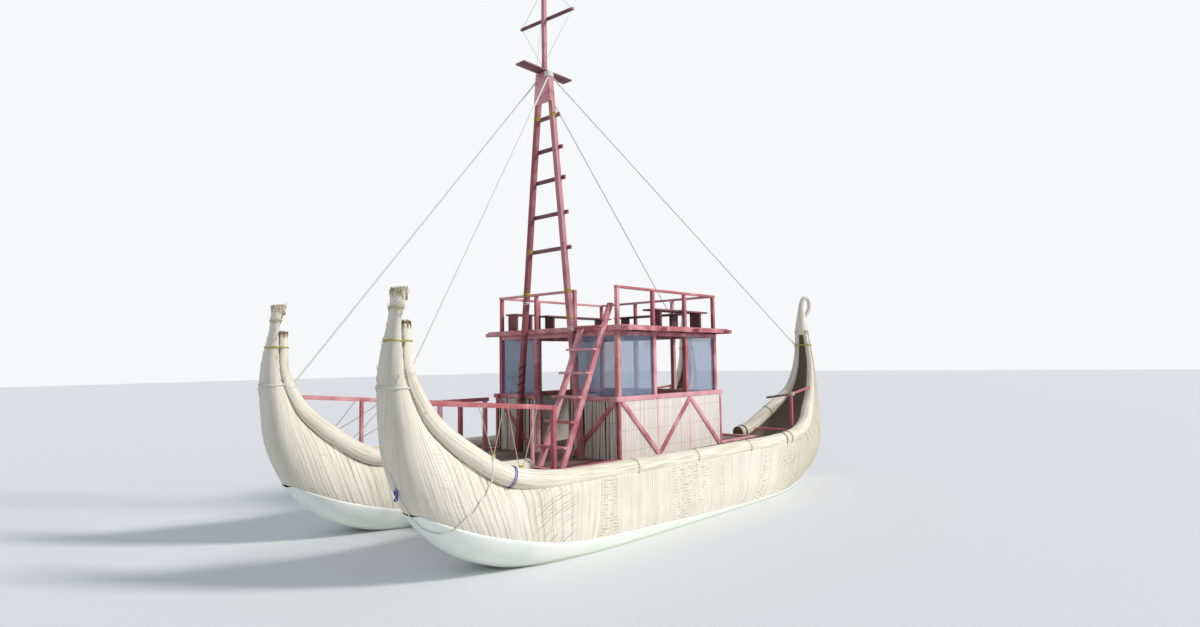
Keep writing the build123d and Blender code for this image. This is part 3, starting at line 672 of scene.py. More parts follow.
# keel_x, keel_z, sheer_x, sheer_z, half_width, roll_off, roll_r, trough
stations = np.array([
    (-4.580, 2.960, -4.455, 2.960, 0.120, 0.078, 0.050, 0.008),
    (-4.680, 2.350, -4.500, 2.350, 0.190, 0.140, 0.062, 0.030),
    (-4.700, 1.700, -4.330, 1.800, 0.285, 0.215, 0.088, 0.090),
    (-4.640, 1.000, -3.930, 1.430, 0.410, 0.330, 0.115, 0.220),
    (-4.300, 0.420, -3.500, 1.170, 0.540, 0.450, 0.125, 0.250),
    (-3.300, -0.030, -2.900, 0.980, 0.640, 0.535, 0.125, 0.120),
    (-2.000, -0.290, -2.000, 0.930, 0.678, 0.568, 0.125, 0.060),
    (-1.000, -0.317, -1.000, 0.930, 0.680, 0.570, 0.125, 0.060),
    (0.000, -0.320, 0.000, 0.935, 0.680, 0.570, 0.125, 0.060),
    (1.000, -0.317, 1.000, 0.945, 0.680, 0.570, 0.125, 0.060),
    (2.000, -0.290, 2.000, 0.955, 0.678, 0.568, 0.125, 0.060),
    (3.250, -0.110, 3.000, 0.975, 0.640, 0.540, 0.125, 0.110),
    (4.190, 0.225, 3.700, 1.070, 0.555, 0.470, 0.125, 0.170),
    (4.810, 0.820, 4.250, 1.380, 0.420, 0.350, 0.120, 0.150),
    (5.060, 1.480, 4.710, 1.850, 0.300, 0.195, 0.105, 0.070),
    (5.115, 2.200, 4.875, 2.380, 0.195, 0.095, 0.080, 0.025),
    (5.010, 2.850, 4.860, 2.850, 0.112, 0.060, 0.060, 0.008),
    (4.990, 3.150, 4.820, 3.150, 0.108, 0.000, 0.000, 0.004),
])
bow_end = len(stations) - 1
float_line = 0.100
float_straight = 2.400
float_tip_x, float_tip_z = 5.000, 0.960
# The boat sits a little down by the stern, so the line that shows is not quite level
trim_places = (-2.4, -1.2, -0.4, 0.5, 1.0, 1.5, 2.0, 2.5, 3.0, 3.4, 3.7, 4.0, 4.3, 4.6, 4.9)
trim_rises = (-0.040, -0.045, -0.034, 0.000, 0.022, 0.042, 0.062, 0.082, 0.094, 0.092, 0.080, 0.058,
              0.028, -0.006, -0.030)
# The skin may not swell past this half-width, so that it stays inside the frame's box
skin_limit = 0.688


# %% Smooth curves through the sections, which never swing past them
def smooth_rows(table, places):
    """Cubic curves through the rows, level wherever a column turns back."""
    steps = np.diff(table, axis=0)
    slopes = np.zeros_like(table)
    same_way = steps[:-1] * steps[1:] > 0
    with np.errstate(divide="ignore", invalid="ignore"):
        harmonic = 2 * steps[:-1] * steps[1:] / (steps[:-1] + steps[1:])
    slopes[1:-1] = np.where(same_way, harmonic, 0)
    slopes[0], slopes[-1] = steps[0], steps[-1]
    row = np.clip(np.floor(places).astype(int), 0, len(table) - 2)
    t = (places - row)[:, None]
    low, high, slope, next_slope = table[row], table[row + 1], slopes[row], slopes[row + 1]
    return (low * (2 * t ** 3 - 3 * t ** 2 + 1) + slope * (t ** 3 - 2 * t ** 2 + t)
            + high * (3 * t ** 2 - 2 * t ** 3) + next_slope * (t ** 3 - t ** 2))


def ease(value):
    value = np.clip(value, 0, 1)
    return value * value * (3 - 2 * value)


def float_height(x):
    """The float's upper edge, level amidships and climbing on an arc to either tip."""
    past = np.maximum(np.abs(x) - float_straight, 0)
    reach, rise = float_tip_x - float_straight, float_tip_z - float_line
    radius = (reach ** 2 + rise ** 2) / (2 * rise)
    past = np.minimum(past, reach)
    trim = np.interp(x, trim_places, trim_rises)
    return float_line + trim + radius - np.sqrt(radius ** 2 - past ** 2)


# %% Points on the hull, by place along it and share of the way up its side
def rise_of(rows):
    """From the keel to the sheer line, for each row of sections."""
    return np.stack([rows[:, 2] - rows[:, 0], np.zeros(len(rows)), rows[:, 3] - rows[:, 1]], -1)


def hull_points(places, shares, inset=0.0):
    """A grid of points on the port hull's port side; rows are places along, columns shares up."""
    rows = smooth_rows(stations, places)
    keel = np.stack([rows[:, 0], np.full(len(rows), hull_offset), rows[:, 1]], -1)
    rise = rise_of(rows)
    reach = np.linalg.norm(rise, axis=1)
    up = rise / reach[:, None]
    curve = smooth_rows(outline, shares * (len(outline) - 1))
    top = reach - rows[:, 6]
    # Amidships the skin swells at the shoulder and is tucked up against the outer roll
    full = ease((places - 4.4) / 1.5) * (1 - ease((places - 10.8) / 1.4))
    swollen = 1 + 0.045 * full[:, None] * ease((shares - 0.55) / 0.45)[None]
    across = curve[None, :, 0] * swollen * (rows[:, 4][:, None] - inset)
    height = inset + curve[None, :, 1] * (top[:, None] - inset)
    tucked = full[:, None] * ease((shares - 0.72) / 0.28)[None]
    across += tucked * ((rows[:, 5] + rows[:, 6] * 0.90)[:, None] - across[:, -1:])
    across = np.minimum(across, skin_limit)
    height += tucked * (rows[:, 6] * 0.72)[:, None]
    return keel[:, None] + across[..., None] * np.array((0.0, 1.0, 0.0)) + height[..., None] * up[:, None]


# %% Which line of reeds a point lies on
def line_skew(foot):
    """How far along the hull a reed line travels on its way up from the float, by where it starts."""
    bow = (bow_end - foot) * ease((foot - 10.4) / 1.3)
    stern_share = ease((5.8 - foot) / 1.8)
    lean = 0.9 * ease((8 - foot) / 2) * (1 - stern_share) + foot * stern_share
    return bow - lean


def line_feet(places, shares):
    """For each place and share up the side, where the reed line through it starts."""
    feet = np.linspace(0, bow_end, 1200)
    skew = line_skew(feet)
    found = np.empty((len(places), len(shares)))
    for column, share in enumerate(shares):
        found[:, column] = np.interp(places, feet + skew * share, feet)
    return found


along_places = np.linspace(0, bow_end, 900)
centre_rows = smooth_rows(stations, along_places)
hull_length = lengths_along((centre_rows[:, :2] + centre_rows[:, 2:4]) / 2)
even_places = np.interp(np.linspace(0, hull_length[-1], 900), hull_length, along_places)
print("a hull is", round(float(hull_length[-1]), 2), "m along its curve")


# %% The reed skin
skin_columns = 26
floor_columns = 8
skin_inset = 0.010


def rib_height(feet_length, places):
    """Ribs down the side amidships, where the skin's reeds run crosswise."""
    phase = feet_length / rib_pitch
    number = np.floor(phase)
    part = phase - number
    own = np.abs(np.sin(number * 12.9898) * 43758.5453) % 1
    middle = ease((places - 5.0) / 1.2) * (1 - ease((places - 10.2) / 1.0))
    return (np.sin(np.pi * part) ** 0.6 - 0.6) * (0.0035 + 0.0035 * own) * middle[:, None]


def lumps(points, scale, height, shift=0.0):
    flat = points.reshape(-1, 3)
    wave = np.array([noise.noise(Vector(p) * scale + Vector((shift, shift, shift))) for p in flat])
    return (wave * height).reshape(points.shape[:2])


def outward(points):
    """Directions square to a grid of points."""
    along = np.gradient(points, axis=0)
    across = np.gradient(points, axis=1)
    square = np.cross(across, along)
    length = np.linalg.norm(square, axis=2, keepdims=True)
    return square / np.maximum(length, 1e-12)


def float_edge(places):
    """A fine grid of the side, its columns' shares, and each row's share at the float's edge."""
    shares = np.linspace(0, 1, 60)
    fine = hull_points(places, shares)
    above = fine[..., 2] - float_height(fine[..., 0])
    return fine, shares, np.array([np.interp(0, row, shares) if row[0] < 0 else 0.0 for row in above])


def read_rows(grid, shares, wanted):
    """Each row of a grid read at shares of its own."""
    return np.array([np.stack([np.interp(own, shares, column) for column in row.T], -1)
                     for row, own in zip(grid, wanted)])


def skin_side(places):
    """Port side of the port hull's skin from the float's edge up, and where its reed lines start."""
    fine, shares, edge = float_edge(places)
    lower = np.clip(edge - 0.07, 0, 1)[:, None]
    wanted = lower + (1 - lower) * np.linspace(0, 1, skin_columns)
    feet = read_rows(line_feet(places, shares)[..., None], shares, wanted)[..., 0]
    return read_rows(fine, shares, wanted), feet


places = even_places
side_points, side_feet = skin_side(places)
feet_length = np.interp(side_feet, along_places, hull_length)
swell = rib_height(feet_length, places) + lumps(side_points, 2.1, 0.006) - skin_inset
side_skin = side_points + outward(side_points) * swell[..., None]
girth = np.concatenate([np.zeros((len(places), 1)),
                        np.cumsum(np.linalg.norm(np.diff(side_points, axis=1), axis=2), axis=1)], axis=1)
drift = np.interp(places, along_places, hull_length)[:, None] - feet_length
side_lay = np.stack([feet_length, np.hypot(girth, drift)], -1)
print("skin grid", side_skin.shape[:2], "furthest to port", round(float(side_skin[..., 1].max()), 3))

# %% [markdown]
# A side of the skin is one grid of points, from the float's edge to the shoulder. The starboard side of
# the same hull and the starboard hull are its reflections, and the sunken reed floor joins the two
# sides between the rolls.


# %% Reflections and the floor between the shoulders
def across_hull(points):
    """Reflected in the port hull's own centre plane."""
    flipped = points.copy()
    flipped[..., 1] = 2 * hull_offset - flipped[..., 1]
    return flipped


def across_boat(points, hand):
    """hand is 1 for the port hull and -1 for its reflection to starboard."""
    turned = points.copy()
    turned[..., 1] *= hand
    return turned


def floor_grid(places, edge):
    rows = smooth_rows(stations, places)
    rise = rise_of(rows)
    up = rise / np.linalg.norm(rise, axis=1)[:, None]
    other = across_hull(edge)
    steps = np.linspace(0, 1, floor_columns + 2)
    sunk = ease(np.minimum(steps, 1 - steps) / 0.3) * rows[:, 7][:, None]
    flat = edge[:, None] * (1 - steps)[None, :, None] + other[:, None] * steps[None, :, None]
    flat = flat - up[:, None] * sunk[..., None]
    width = steps[None] * np.linalg.norm(edge - other, axis=1)[:, None]
    length = np.interp(places, along_places, hull_length)
    return flat, np.stack([np.broadcast_to(length[:, None] * 0.35, width.shape), width], -1)


floor_points, floor_lay = floor_grid(places, side_skin[:, -1])


def add_skin(side_name, hand):
    stack = Stack()
    near = across_boat(side_skin, hand)
    far = across_boat(across_hull(side_skin), hand)
    floor_here = across_boat(floor_points, hand)
    stack.grid(near, side_lay, flip=hand < 0)
    stack.grid(far, side_lay + (3.7, 0), flip=hand > 0)
    # The floor takes the third finish, dark straw that is painted shade in the trough between the rolls
    stack.grid(floor_here, floor_lay, 0.6, 2, flip=hand < 0)
    # Close the skin at its two tips
    for end, turned in ((0, hand > 0), (-1, hand < 0)):
        rim = np.concatenate([near[end], floor_here[end][1:-1], far[end][::-1]])
        stack.fan(rim, rim.mean(axis=0), finish=1, flip=turned)
    name = side_name + "_reed_skin"
    return add_piece(name, stack.mesh(name), [skin_finish, cut_finish, trough_shade_straw],
                     [side_name + "_hull"])


hands = (("port", 1), ("starboard", -1))
for side_name, hand in hands:
    skin = add_skin(side_name, hand)
    print(skin.name, len(skin.data.polygons), "faces")

# %% [markdown]
# ## The floats
# A float is the lower part of the same form, smooth and a little proud of the reeds, with a rounded
# lip along its upper edge. The reeds' lower ends tuck in behind the lip.

# %% Make the floats
lip_depth = 0.045
float_columns = 18
float_places = even_places[::3]
fine, shares, edge = float_edge(float_places)
afloat = edge > 0.004
float_points = read_rows(fine, shares, edge[:, None] * np.linspace(0, 1, float_columns))[afloat]
float_skin = float_points + outward(float_points) * (lumps(float_points, 1.2, 0.002) - 0.002)[..., None]
float_skin[:, 0, 1] = hull_offset
lip = float_skin[:, -1]
# The lip rises a little, turns inward and ends level: in, up
lip_steps = ((0.0, 0.0), (0.004, 0.010), (0.016, 0.012), (lip_depth, 0.0))
lip_grid = np.stack([lip + (0, -inward, up) for inward, up in lip_steps], 1)
lip_grid[..., 1] = np.maximum(lip_grid[..., 1], hull_offset)
float_length = np.interp(float_places[afloat], along_places, hull_length)[:, None]
float_lay, lip_lay = (np.stack(np.broadcast_arrays(float_length, np.linspace(low, high, count)[None]), -1)
                      for low, high, count in ((0, 0.9, float_columns), (0.9, 0.97, len(lip_steps))))

for side_name, hand in hands:
    stack = Stack()
    for grid, lay in ((float_skin, float_lay), (lip_grid, lip_lay)):
        stack.grid(across_boat(grid, hand), lay, flip=hand < 0)
        stack.grid(across_boat(across_hull(grid), hand), lay, flip=hand > 0)
    name = side_name + "_float_shell"
    shell = add_piece(name, stack.mesh(name), [float_finish], [side_name + "_float"])
    print(shell.name, len(shell.data.polygons), "faces")

# %% [markdown]
# ## Rolls along the gunwales
# A gunwale roll is a bundle of reeds as thick as a thigh, bound with cord every forearm or so. Its
# section is not quite round, it swells a little between the cords, and its ends are cut square.

# %% Make the rolls
roll_inset = 0.006
roll_rings, roll_around = 520, 44
tie_gap = 0.42


def roll_path(side, places):
    rows = smooth_rows(stations, places)
    # By the stern the inner roll lies a little higher than the outer one
    heel = 0.055 * np.exp(-((rows[:, 2] + 3.75) / 0.5) ** 2)
    return np.stack([rows[:, 2], hull_offset + side * rows[:, 5], rows[:, 3] - side * heel], -1), rows[:, 6]


def roll_surface(side, first, last, seed):
    """A roll's rings and map, and the line and radii it follows."""
    places = np.linspace(first, last, roll_rings)
    length = lengths_along(roll_path(side, places)[0])
    path, radii = roll_path(side, np.interp(np.linspace(0, length[-1], roll_rings), length, places))
    length = np.linspace(0, length[-1], roll_rings)
    swell = 1 + 0.018 * (np.abs(np.sin(np.pi * length / tie_gap)) ** 0.5 - 1)
    rings, lay = tube_rings(path, radii * swell - roll_inset, roll_around)
    middle = path[:, None]
    square = (rings - middle) / np.linalg.norm(rings - middle, axis=2, keepdims=True)
    turn = np.arange(roll_around) / roll_around * 2 * np.pi
    reeds = np.abs(np.sin(turn * 11 + seed)) * 0.0035 + np.abs(np.sin(turn * 7 + 2 * seed)) * 0.0025
    dents = lumps(rings, 3.0, 0.005, seed) - 0.004
    return rings + square * (dents + reeds[None] - 0.003)[..., None], lay, path, radii


roll_runs = {"outer_roll": (1, [(0.0, 15.82)]), "inner_rolls": (-1, [(0.0, 5.15), (10.56, 15.82)])}
roll_lines = {}
for roll_name, (side, runs) in roll_runs.items():
    for side_name, hand in hands:
        stack = Stack()
        for number, (first, last) in enumerate(runs):
            rings, lay, path, radii = roll_surface(side, first, last, 1.3 * number + side)
            roll_lines[roll_name, number] = (path, radii)
            shown = across_boat(rings, hand)
            stack.grid(shown, lay, closed=True, flip=hand < 0)
            stack.fan(shown[0], shown[0].mean(axis=0), finish=1, flip=hand > 0)
            stack.fan(shown[-1], shown[-1].mean(axis=0), finish=1, flip=hand < 0)
        name = side_name + "_" + roll_name + "_straw"
        roll = add_piece(name, stack.mesh(name), [bundle_finish, cut_finish],
                         [side_name + "_" + roll_name])
        print(roll.name, len(roll.data.polygons), "faces")

# %% [markdown]
# ## Stern horns
# Above the stern each hull's bundle is drawn out thin, bent over aft and bound back to itself, which
# leaves a loop for a mooring rope.

# %% Make the horns
# x, out from the hull's centre plane, z, radius
horn_table = np.array([
    (-4.495, 0.000, 2.840, 0.112), (-4.490, 0.000, 2.930, 0.130), (-4.482, 0.000, 3.030, 0.122),
    (-4.480, 0.000, 3.130, 0.104), (-4.482, 0.004, 3.260, 0.082), (-4.488, 0.008, 3.390, 0.066),
    (-4.502, 0.022, 3.510, 0.054), (-4.540, 0.060, 3.588, 0.048), (-4.584, 0.104, 3.578, 0.045),
    (-4.608, 0.128, 3.490, 0.045), (-4.604, 0.124, 3.390, 0.046), (-4.576, 0.096, 3.290, 0.045),
    (-4.530, 0.050, 3.200, 0.040), (-4.500, 0.020, 3.120, 0.034),
])
horn_rows = smooth_rows(horn_table, np.linspace(0, len(horn_table) - 1, 150))
horn_line = horn_rows[:, :3] + (0, hull_offset, 0)
for side_name, hand in hands:
    stack = Stack()
    add_tube(stack, across_boat(horn_line, hand), horn_rows[:, 3] - 0.003, 28,
             ripple=lambda turn: 1 - 0.05 * np.abs(np.sin(turn * 6)))
    name = side_name + "_stern_horn_straw"
    horn = add_piece(name, stack.mesh(name), [bundle_finish], [side_name + "_stern_horn"])
    print(horn.name, len(horn.data.polygons), "faces")

# %% [markdown]
# ## Brushes, wraps and cords
# A prow ends in a brush of cut reeds. Cords hold the bundles together: some go round a roll, some
# round the whole section, and a mooring rope hangs round the near bow.


# %% A brush of loose reeds at a cut end
def brush(stack, middle, axis, across, halves, count, sunk, reach, flare, radius, finish):
    """Reeds set in an oval round middle: sunk below the cut, reach above it, leaning out by flare."""
    axis, across = Vector(axis).normalized(), Vector(across).normalized()
    fore = axis.cross(across)
    for i in range(count):
        far = math.sqrt((i + 0.5) / count)
        turn = i * 2.39996 + rng.uniform(-0.1, 0.1)
        spot = across * (halves[0] * far * math.cos(turn)) + fore * (halves[1] * far * math.sin(turn))
        lean = spot * (flare * far)
        low = Vector(middle) + spot - axis * sunk
        high = Vector(middle) + spot + lean + axis * (reach * rng.uniform(0.1, 1.0) ** 1.5)
        bend = Vector((rng.uniform(-1, 1), rng.uniform(-1, 1), 0)) * 0.004
        add_tube(stack, [low, (low + high) / 2 + bend, high], radius * rng.uniform(0.7, 1.1), 5,
                 tone=rng.random(), finish=finish)


# %% Cords round the sections
def loop_round(points, clearance):
    """The tight loop round a set of points given in a plane, as pairs, pushed out by clearance."""
    points = sorted(map(tuple, np.round(points, 5)))
    hull = []
    for run in (points, points[::-1]):
        chain = []
        for point in run:
            while len(chain) > 1 and ((chain[-1][0] - chain[-2][0]) * (point[1] - chain[-2][1])
                                      - (chain[-1][1] - chain[-2][1]) * (point[0] - chain[-2][0])) <= 0:
                chain.pop()
            chain.append(point)
        hull += chain[:-1]
    hull = np.array(hull)
    outside = hull - hull.mean(axis=0)
    return hull + outside / np.linalg.norm(outside, axis=1)[:, None] * clearance


def section_at(height, side):
    """The hull's section at a height near an end: half of its skin, and where its roll's centre is."""
    places_there = np.linspace(13.5, 17, 60) if side > 0 else np.linspace(0, 3.0, 60)[::-1]
    grid = hull_points(places_there, np.linspace(0, 1, 24))
    half = [[np.interp(height, grid[:, k, 2], grid[:, k, axis]) for axis in (0, 1)] for k in range(24)]
    rows = smooth_rows(stations, places_there)
    roll = [np.interp(height, rows[:, 3], rows[:, k]) for k in (2, 5, 6)]
    return np.array(half), roll


def girdle(stack, height, hand, radius, finish, rolls=True, turns=1, end=1):
    """Level turns of cord round a prow or stern, with or without its rolls."""
    for turn in range(turns):
        level_there = height + turn * radius * 2.1
        half, (roll_x, roll_off, roll_r) = section_at(level_there, end)
        flat = [(x, y - hull_offset) for x, y in half]
        flat += [(x, -y) for x, y in flat]
        if rolls:
            flat += [(roll_x + roll_r * math.cos(t), side * roll_off + roll_r * math.sin(t))
                     for side in (1, -1) for t in np.linspace(0, 2 * math.pi, 20)]
        ring = loop_round(np.array(flat), radius - 0.004)
        ring = np.concatenate([ring, ring[:1]])
        along = lengths_along(ring)
        even = np.linspace(0, along[-1], 70)
        ring = np.stack([np.interp(even, along, ring[:, k]) for k in (0, 1)], -1)
        wave = 0.005 * np.sin(even * 9 + turn * 2 + height) + 0.003 * np.sin(even * 31)
        path = np.stack([ring[:, 0], hull_offset + ring[:, 1], level_there + wave], -1)
        path[-1] = path[0]
        add_tube(stack, across_boat(path, hand), radius, 6, finish=finish, ends=False)


def band(stack, line, radii, at, width, finish, hand=1, turns=1):
    """Turns of cord round a roll, at a share of its length."""
    sides, ups = frames_along(line)
    for turn in range(turns):
        i = min(len(line) - 1, int(at * (len(line) - 1)) + turn)
        angle = np.linspace(0, 2 * math.pi, 33)[:, None]
        ring = line[i] + (np.cos(angle) * sides[i] + np.sin(angle) * ups[i]) * (radii[i] - width)
        add_tube(stack, across_boat(ring, hand), width, 6, finish=finish, ends=False)


cord_finishes = [white_cord, yellow_cord, tan_cord, blue_cord, dark_cord, loose_finish, brown_finish,
                 pale_cord]
white, yellow, _, blue, dark, reed, brown, pale = range(len(cord_finishes))
# height, radius of the cord, which cord, over the rolls too, turns, 1 for the bow and -1 for the stern
girdles = ((2.945, 0.0045, pale, False, 3, 1), (2.600, 0.0045, yellow, True, 2, 1),
           (2.110, 0.0060, white, False, 2, 1), (2.620, 0.0050, yellow, True, 3, -1),
           (2.885, 0.0045, pale, True, 5, -1))
outer_line, back_line, fore_line = (("outer_roll", 0), ("inner_rolls", 0), ("inner_rolls", 1))
# which roll, how far forward, radius of the cord, which cord, turns
bands = ((outer_line, 3.76, 0.0042, blue, 2), (outer_line, -2.42, 0.004, brown, 2),
         (outer_line, -2.62, 0.004, reed, 2), (back_line, -2.93, 0.010, dark, 4),
         (outer_line, 0.35, 0.003, pale, 2), (outer_line, -1.15, 0.003, pale, 2),
         (outer_line, 1.75, 0.003, pale, 2), (fore_line, 3.30, 0.003, pale, 2),
         (back_line, -3.70, 0.004, pale, 3))
for side_name, hand in hands:
    stack = Stack()
    top = smooth_rows(stations, np.array([17.0]))[0]
    halves = (top[4] * 0.93, (top[0] - top[2]) / 2 * 0.93)
    brush(stack, ((top[0] + top[2]) / 2, hand * hull_offset, 3.135), (0.05, 0, 1), (0, 1, 0), halves,
          330, 0.10, 0.045, 0.10, 0.0052, reed)
    # Broken reeds stand off the prow's sides
    for i in range(70):
        at = np.array([rng.uniform(14.6, 16.9)])
        near_roll = rng.random() < 0.5
        share = rng.uniform(0.9, 1.0) if near_roll else rng.uniform(0.2, 0.9)
        root = across_boat(hull_points(at, np.array([share]), 0.012), hand)[0, 0]
        if rng.random() < 0.5:
            root[1] = 2 * hand * hull_offset - root[1]
        away = np.array((rng.uniform(-0.4, 0.2), math.copysign(0.35, root[1] - hand * hull_offset), 1.0))
        away /= np.linalg.norm(away)
        size = rng.uniform(0.03, 0.09)
        add_tube(stack, [root, root + away * size * 0.5, root + away * size + (0, 0, 0.01)], 0.0028, 4,
                 tone=rng.random(), finish=brown if near_roll else reed)
    # Roll ends, brown and frayed. The sterns' upper ends are bound and have none
    for path, radii in roll_lines.values():
        for end, before in ((0, 1), (-1, -2)):
            if path[end][2] > 2.5 and path[end][0] < 0:
                continue
            heading = path[end] - path[before]
            heading /= np.linalg.norm(heading)
            heading[1] *= hand
            middle = across_boat(path[end], hand)
            reach = 0.05 if path[end][2] > 2.5 else 0.03
            brush(stack, middle, heading, (0, 1, 0), (radii[end] * 0.86, radii[end] * 0.86), 90, 0.05,
                  reach, 0.12, 0.005, brown)
    for height, radius, kind, rolls, turns, end in girdles:
        girdle(stack, height, hand, radius, kind, rolls, turns, end)
    for line, forward, width, kind, turns in bands:
        path, radii = roll_lines[line]
        share = np.abs(path[:, 0] - forward).argmin() / (len(path) - 1)
        band(stack, path, radii, share, width, kind, hand, turns)
    name = side_name + "_cords"
    tied = add_piece(name, stack.mesh(name), cord_finishes)
    print(tied.name, len(tied.data.polygons), "faces")

# %% The mooring rope round the near bow
rope_table = [(4.99, 1.450, 1.24), (4.95, 1.44, 1.12), (4.90, 1.45, 1.00), (4.84, 1.46, 0.88),
              (4.75, 1.49, 0.745), (4.64, 1.54, 0.655), (4.528, 1.665, 0.612), (4.444, 1.812, 0.655),
              (4.348, 1.909, 0.755), (4.221, 1.952, 0.874), (4.116, 1.945, 0.994), (4.050, 1.935, 1.107),
              (4.060, 1.965, 1.226), (4.030, 1.935, 1.350), (3.985, 1.86, 1.335)]
places_along = np.linspace(0, len(rope_table) - 1, 120)
rope_line = smooth_rows(np.array(rope_table), places_along)
# Up to the roll it lies on the hull, so each of its points is moved to the nearest one of the skin
form_grid = hull_points(even_places[::2], np.linspace(0, 1, 60))
form_out = outward(form_grid).reshape(-1, 3)
form_grid = form_grid.reshape(-1, 3)
for i in np.nonzero(places_along < 10.6)[0]:
    nearest = np.linalg.norm(form_grid - rope_line[i], axis=1).argmin()
    rope_line[i] = form_grid[nearest] + form_out[nearest] * 0.008
rope_line[1:-1] = (rope_line[:-2] + rope_line[1:-1] * 2 + rope_line[2:]) / 4
stack = Stack()
add_tube(stack, rope_line, 0.0075, 8, finish=0)
knot_turn = np.linspace(0, 6 * math.pi, 60)
knot = rope_line[16] + np.stack([0.012 + 0.014 * np.cos(knot_turn), 0.022 * np.sin(knot_turn),
                                0.06 * np.sin(knot_turn * 0.37)], -1)
add_tube(stack, knot, 0.0075, 6, finish=1)
add_piece("mooring_rope", stack.mesh("mooring_rope"), [white_cord, blue_cord])
print("cords tied")

# %% [markdown]
# ## Timber
# The deck, cabin frame, roof, rails, ladder and mast are sawn boards, painted red and weathered. Each is
# planed from the frame's own solid. Nodes that are one ring in the frame are laid out as separate bars
# here, because a real ring is nailed together from lengths, with its grain turning at the corners.

# %% Planks, beams and posts
timbers = [
    (bare_finish, "bare_wood", "port_sleepers starboard_sleepers cross_beams"),
    (deck_finish, "deck_paint", "deck_planks"), (red_finish, "red_paint", "cabin_posts roof_beams"),
    (deck_finish, "deck_paint", "roof_planks"), (red_finish, "red_paint", "upper_rail_posts"),
    # upper_benches, mast_rungs, crosstree and yard take the darker copy of the paint that is painted shade
    (painted_shade_timber, "red_paint", "upper_benches"),
    # mast_legs and topmast take the darker mast paint, which is painted shade
    (red_finish, "red_paint", "ladder_treads ladder_stringers"), (shaded_mast_timber, "mast_wood", "mast_legs"),
    (painted_shade_timber, "mast_wood", "mast_rungs"), (red_finish, "red_paint", "masthead_panel"),
    (painted_shade_timber, "red_paint", "crosstree"), (shaded_mast_timber, "mast_wood", "topmast"),
    (painted_shade_timber, "mast_wood", "yard"),
    (red_finish, "red_paint", "foredeck_posts starboard_deck_rail starboard_bow_post port_bow_rail"),
    (red_finish, "red_paint", "starboard_bow_rail port_stern_frame starboard_stern_frame"),
]
for finish, slot, nodes in timbers:
    for node in nodes.split():
        made = boards(node, finish)
        print(made.name, len(made.data.polygons), "faces")

# The mast's rungs go behind its legs: back by a leg's depth and a rung's
leg_depth, rung_depth = 0.078, 0.035
for vert in bpy.data.objects["mast_rungs_timber"].data.vertices:
    vert.co.x -= leg_depth + rung_depth


# %% Braces, sawn to fit the corners of their bays
def clipped(polygon, axis, limit, keep_above):
    """The part of a polygon on one side of a line square to an axis."""
    kept = []
    for a, b in zip(polygon, polygon[1:] + polygon[:1]):
        side_a, side_b = ((p[axis] - limit) * (1 if keep_above else -1) for p in (a, b))
        if side_a >= 0:
            kept.append(a)
        if side_a * side_b < 0:
            share = side_a / (side_a - side_b)
            kept.append(tuple(u + (v - u) * share for u, v in zip(a, b)))
    return kept


def brace(mesh, low, high, bay, flat_axis, faces):
    """A slanting board between two points of its middle line, cut off at the edges of its bay."""
    low, high = np.array(low), np.array(high)
    run = (high - low) / np.linalg.norm(high - low)
    square = np.array((-run[1], run[0])) * brace_width / 2
    start, end = low - run * 0.09, high + run * 0.09
    polygon = [tuple(p) for p in (start - square, end - square, end + square, start + square)]
    for number, limit in enumerate(bay):
        polygon = clipped(polygon, number // 2, limit, keep_above=number % 2 == 0)
    rings = [[mesh.verts.new((u, face, v) if flat_axis == 1 else (face, u, v)) for u, v in polygon]
             for face in faces]
    mesh.faces.new(rings[0])
    mesh.faces.new(rings[1][::-1])
    for i in range(len(polygon)):
        j = (i + 1) % len(polygon)
        mesh.faces.new((rings[0][j], rings[0][i], rings[1][i], rings[1][j]))


cabin_fore, cabin_aft, cabin_side, post = 1.200, -1.440, 1.330, 0.070
deck_level, sill_under, brace_width = 0.920, 1.770, 0.070
post_xs = np.linspace(cabin_fore - post / 2, cabin_aft + post / 2, 4)
post_ys = np.linspace(cabin_side - post / 2, -cabin_side + post / 2, 4)


def braces(node, flat_axis, bays):
    """One brace for each bay, from the post at its foot to the post at its top."""
    mesh = bmesh.new()
    faces = [corner[flat_axis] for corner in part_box(node)]
    for top, foot in bays:
        half_post = math.copysign(post / 2, foot - top)
        bay = (*sorted((top - half_post * 0.5, foot)), deck_level + 0.002, sill_under - 0.002)
        brace(mesh, (foot - half_post * 0.6, deck_level + 0.03), (top + half_post * 0.6, sill_under - 0.03),
              bay, flat_axis, faces)
    bmesh.ops.recalc_face_normals(mesh, faces=mesh.faces)
    timber_piece(node + "_timber", mesh, red_finish, [node], wander=0.0012)


side_bays = [(post_xs[0], post_xs[1]), (post_xs[2], post_xs[1]), (post_xs[2], post_xs[3])]
braces("port_braces", 1, side_bays)
braces("starboard_braces", 1, side_bays)
braces("front_braces", 0, [(post_ys[0], post_ys[1]), (post_ys[3], post_ys[2])])


# %% Corner battens, and the pale studs that show at the thirds of the side walls
def upright_bars(spans_x, off_side, thickness, end_gap):
    """Upright bars on the outside of both side walls."""
    mesh = bmesh.new()
    for x0, x1 in spans_x:
        for hand in (1, -1):
            y0, y1 = sorted(hand * (cabin_side + off) for off in (off_side, off_side + thickness))
            add_bar(mesh, (x0, y0, deck_level + end_gap), (x1, y1, sill_under - end_gap))
    return mesh


batten, stud = 0.045, 0.052
corners = [(cabin_fore + 0.001, cabin_fore + 0.001 + batten), (cabin_aft - 0.001 - batten, cabin_aft - 0.001)]
timber_piece("corner_battens", upright_bars(corners, 0.001, batten, 0.002), red_finish,
             wander=0.0008)
thirds = [(x - stud / 2, x + stud / 2) for x in post_xs[1:3]]
timber_piece("side_studs", upright_bars(thirds, 0.037, 0.003, 0.005), stud_finish,
             bevel=0.001, wander=0.0, smooth=False)
print("braces, battens and studs fitted")

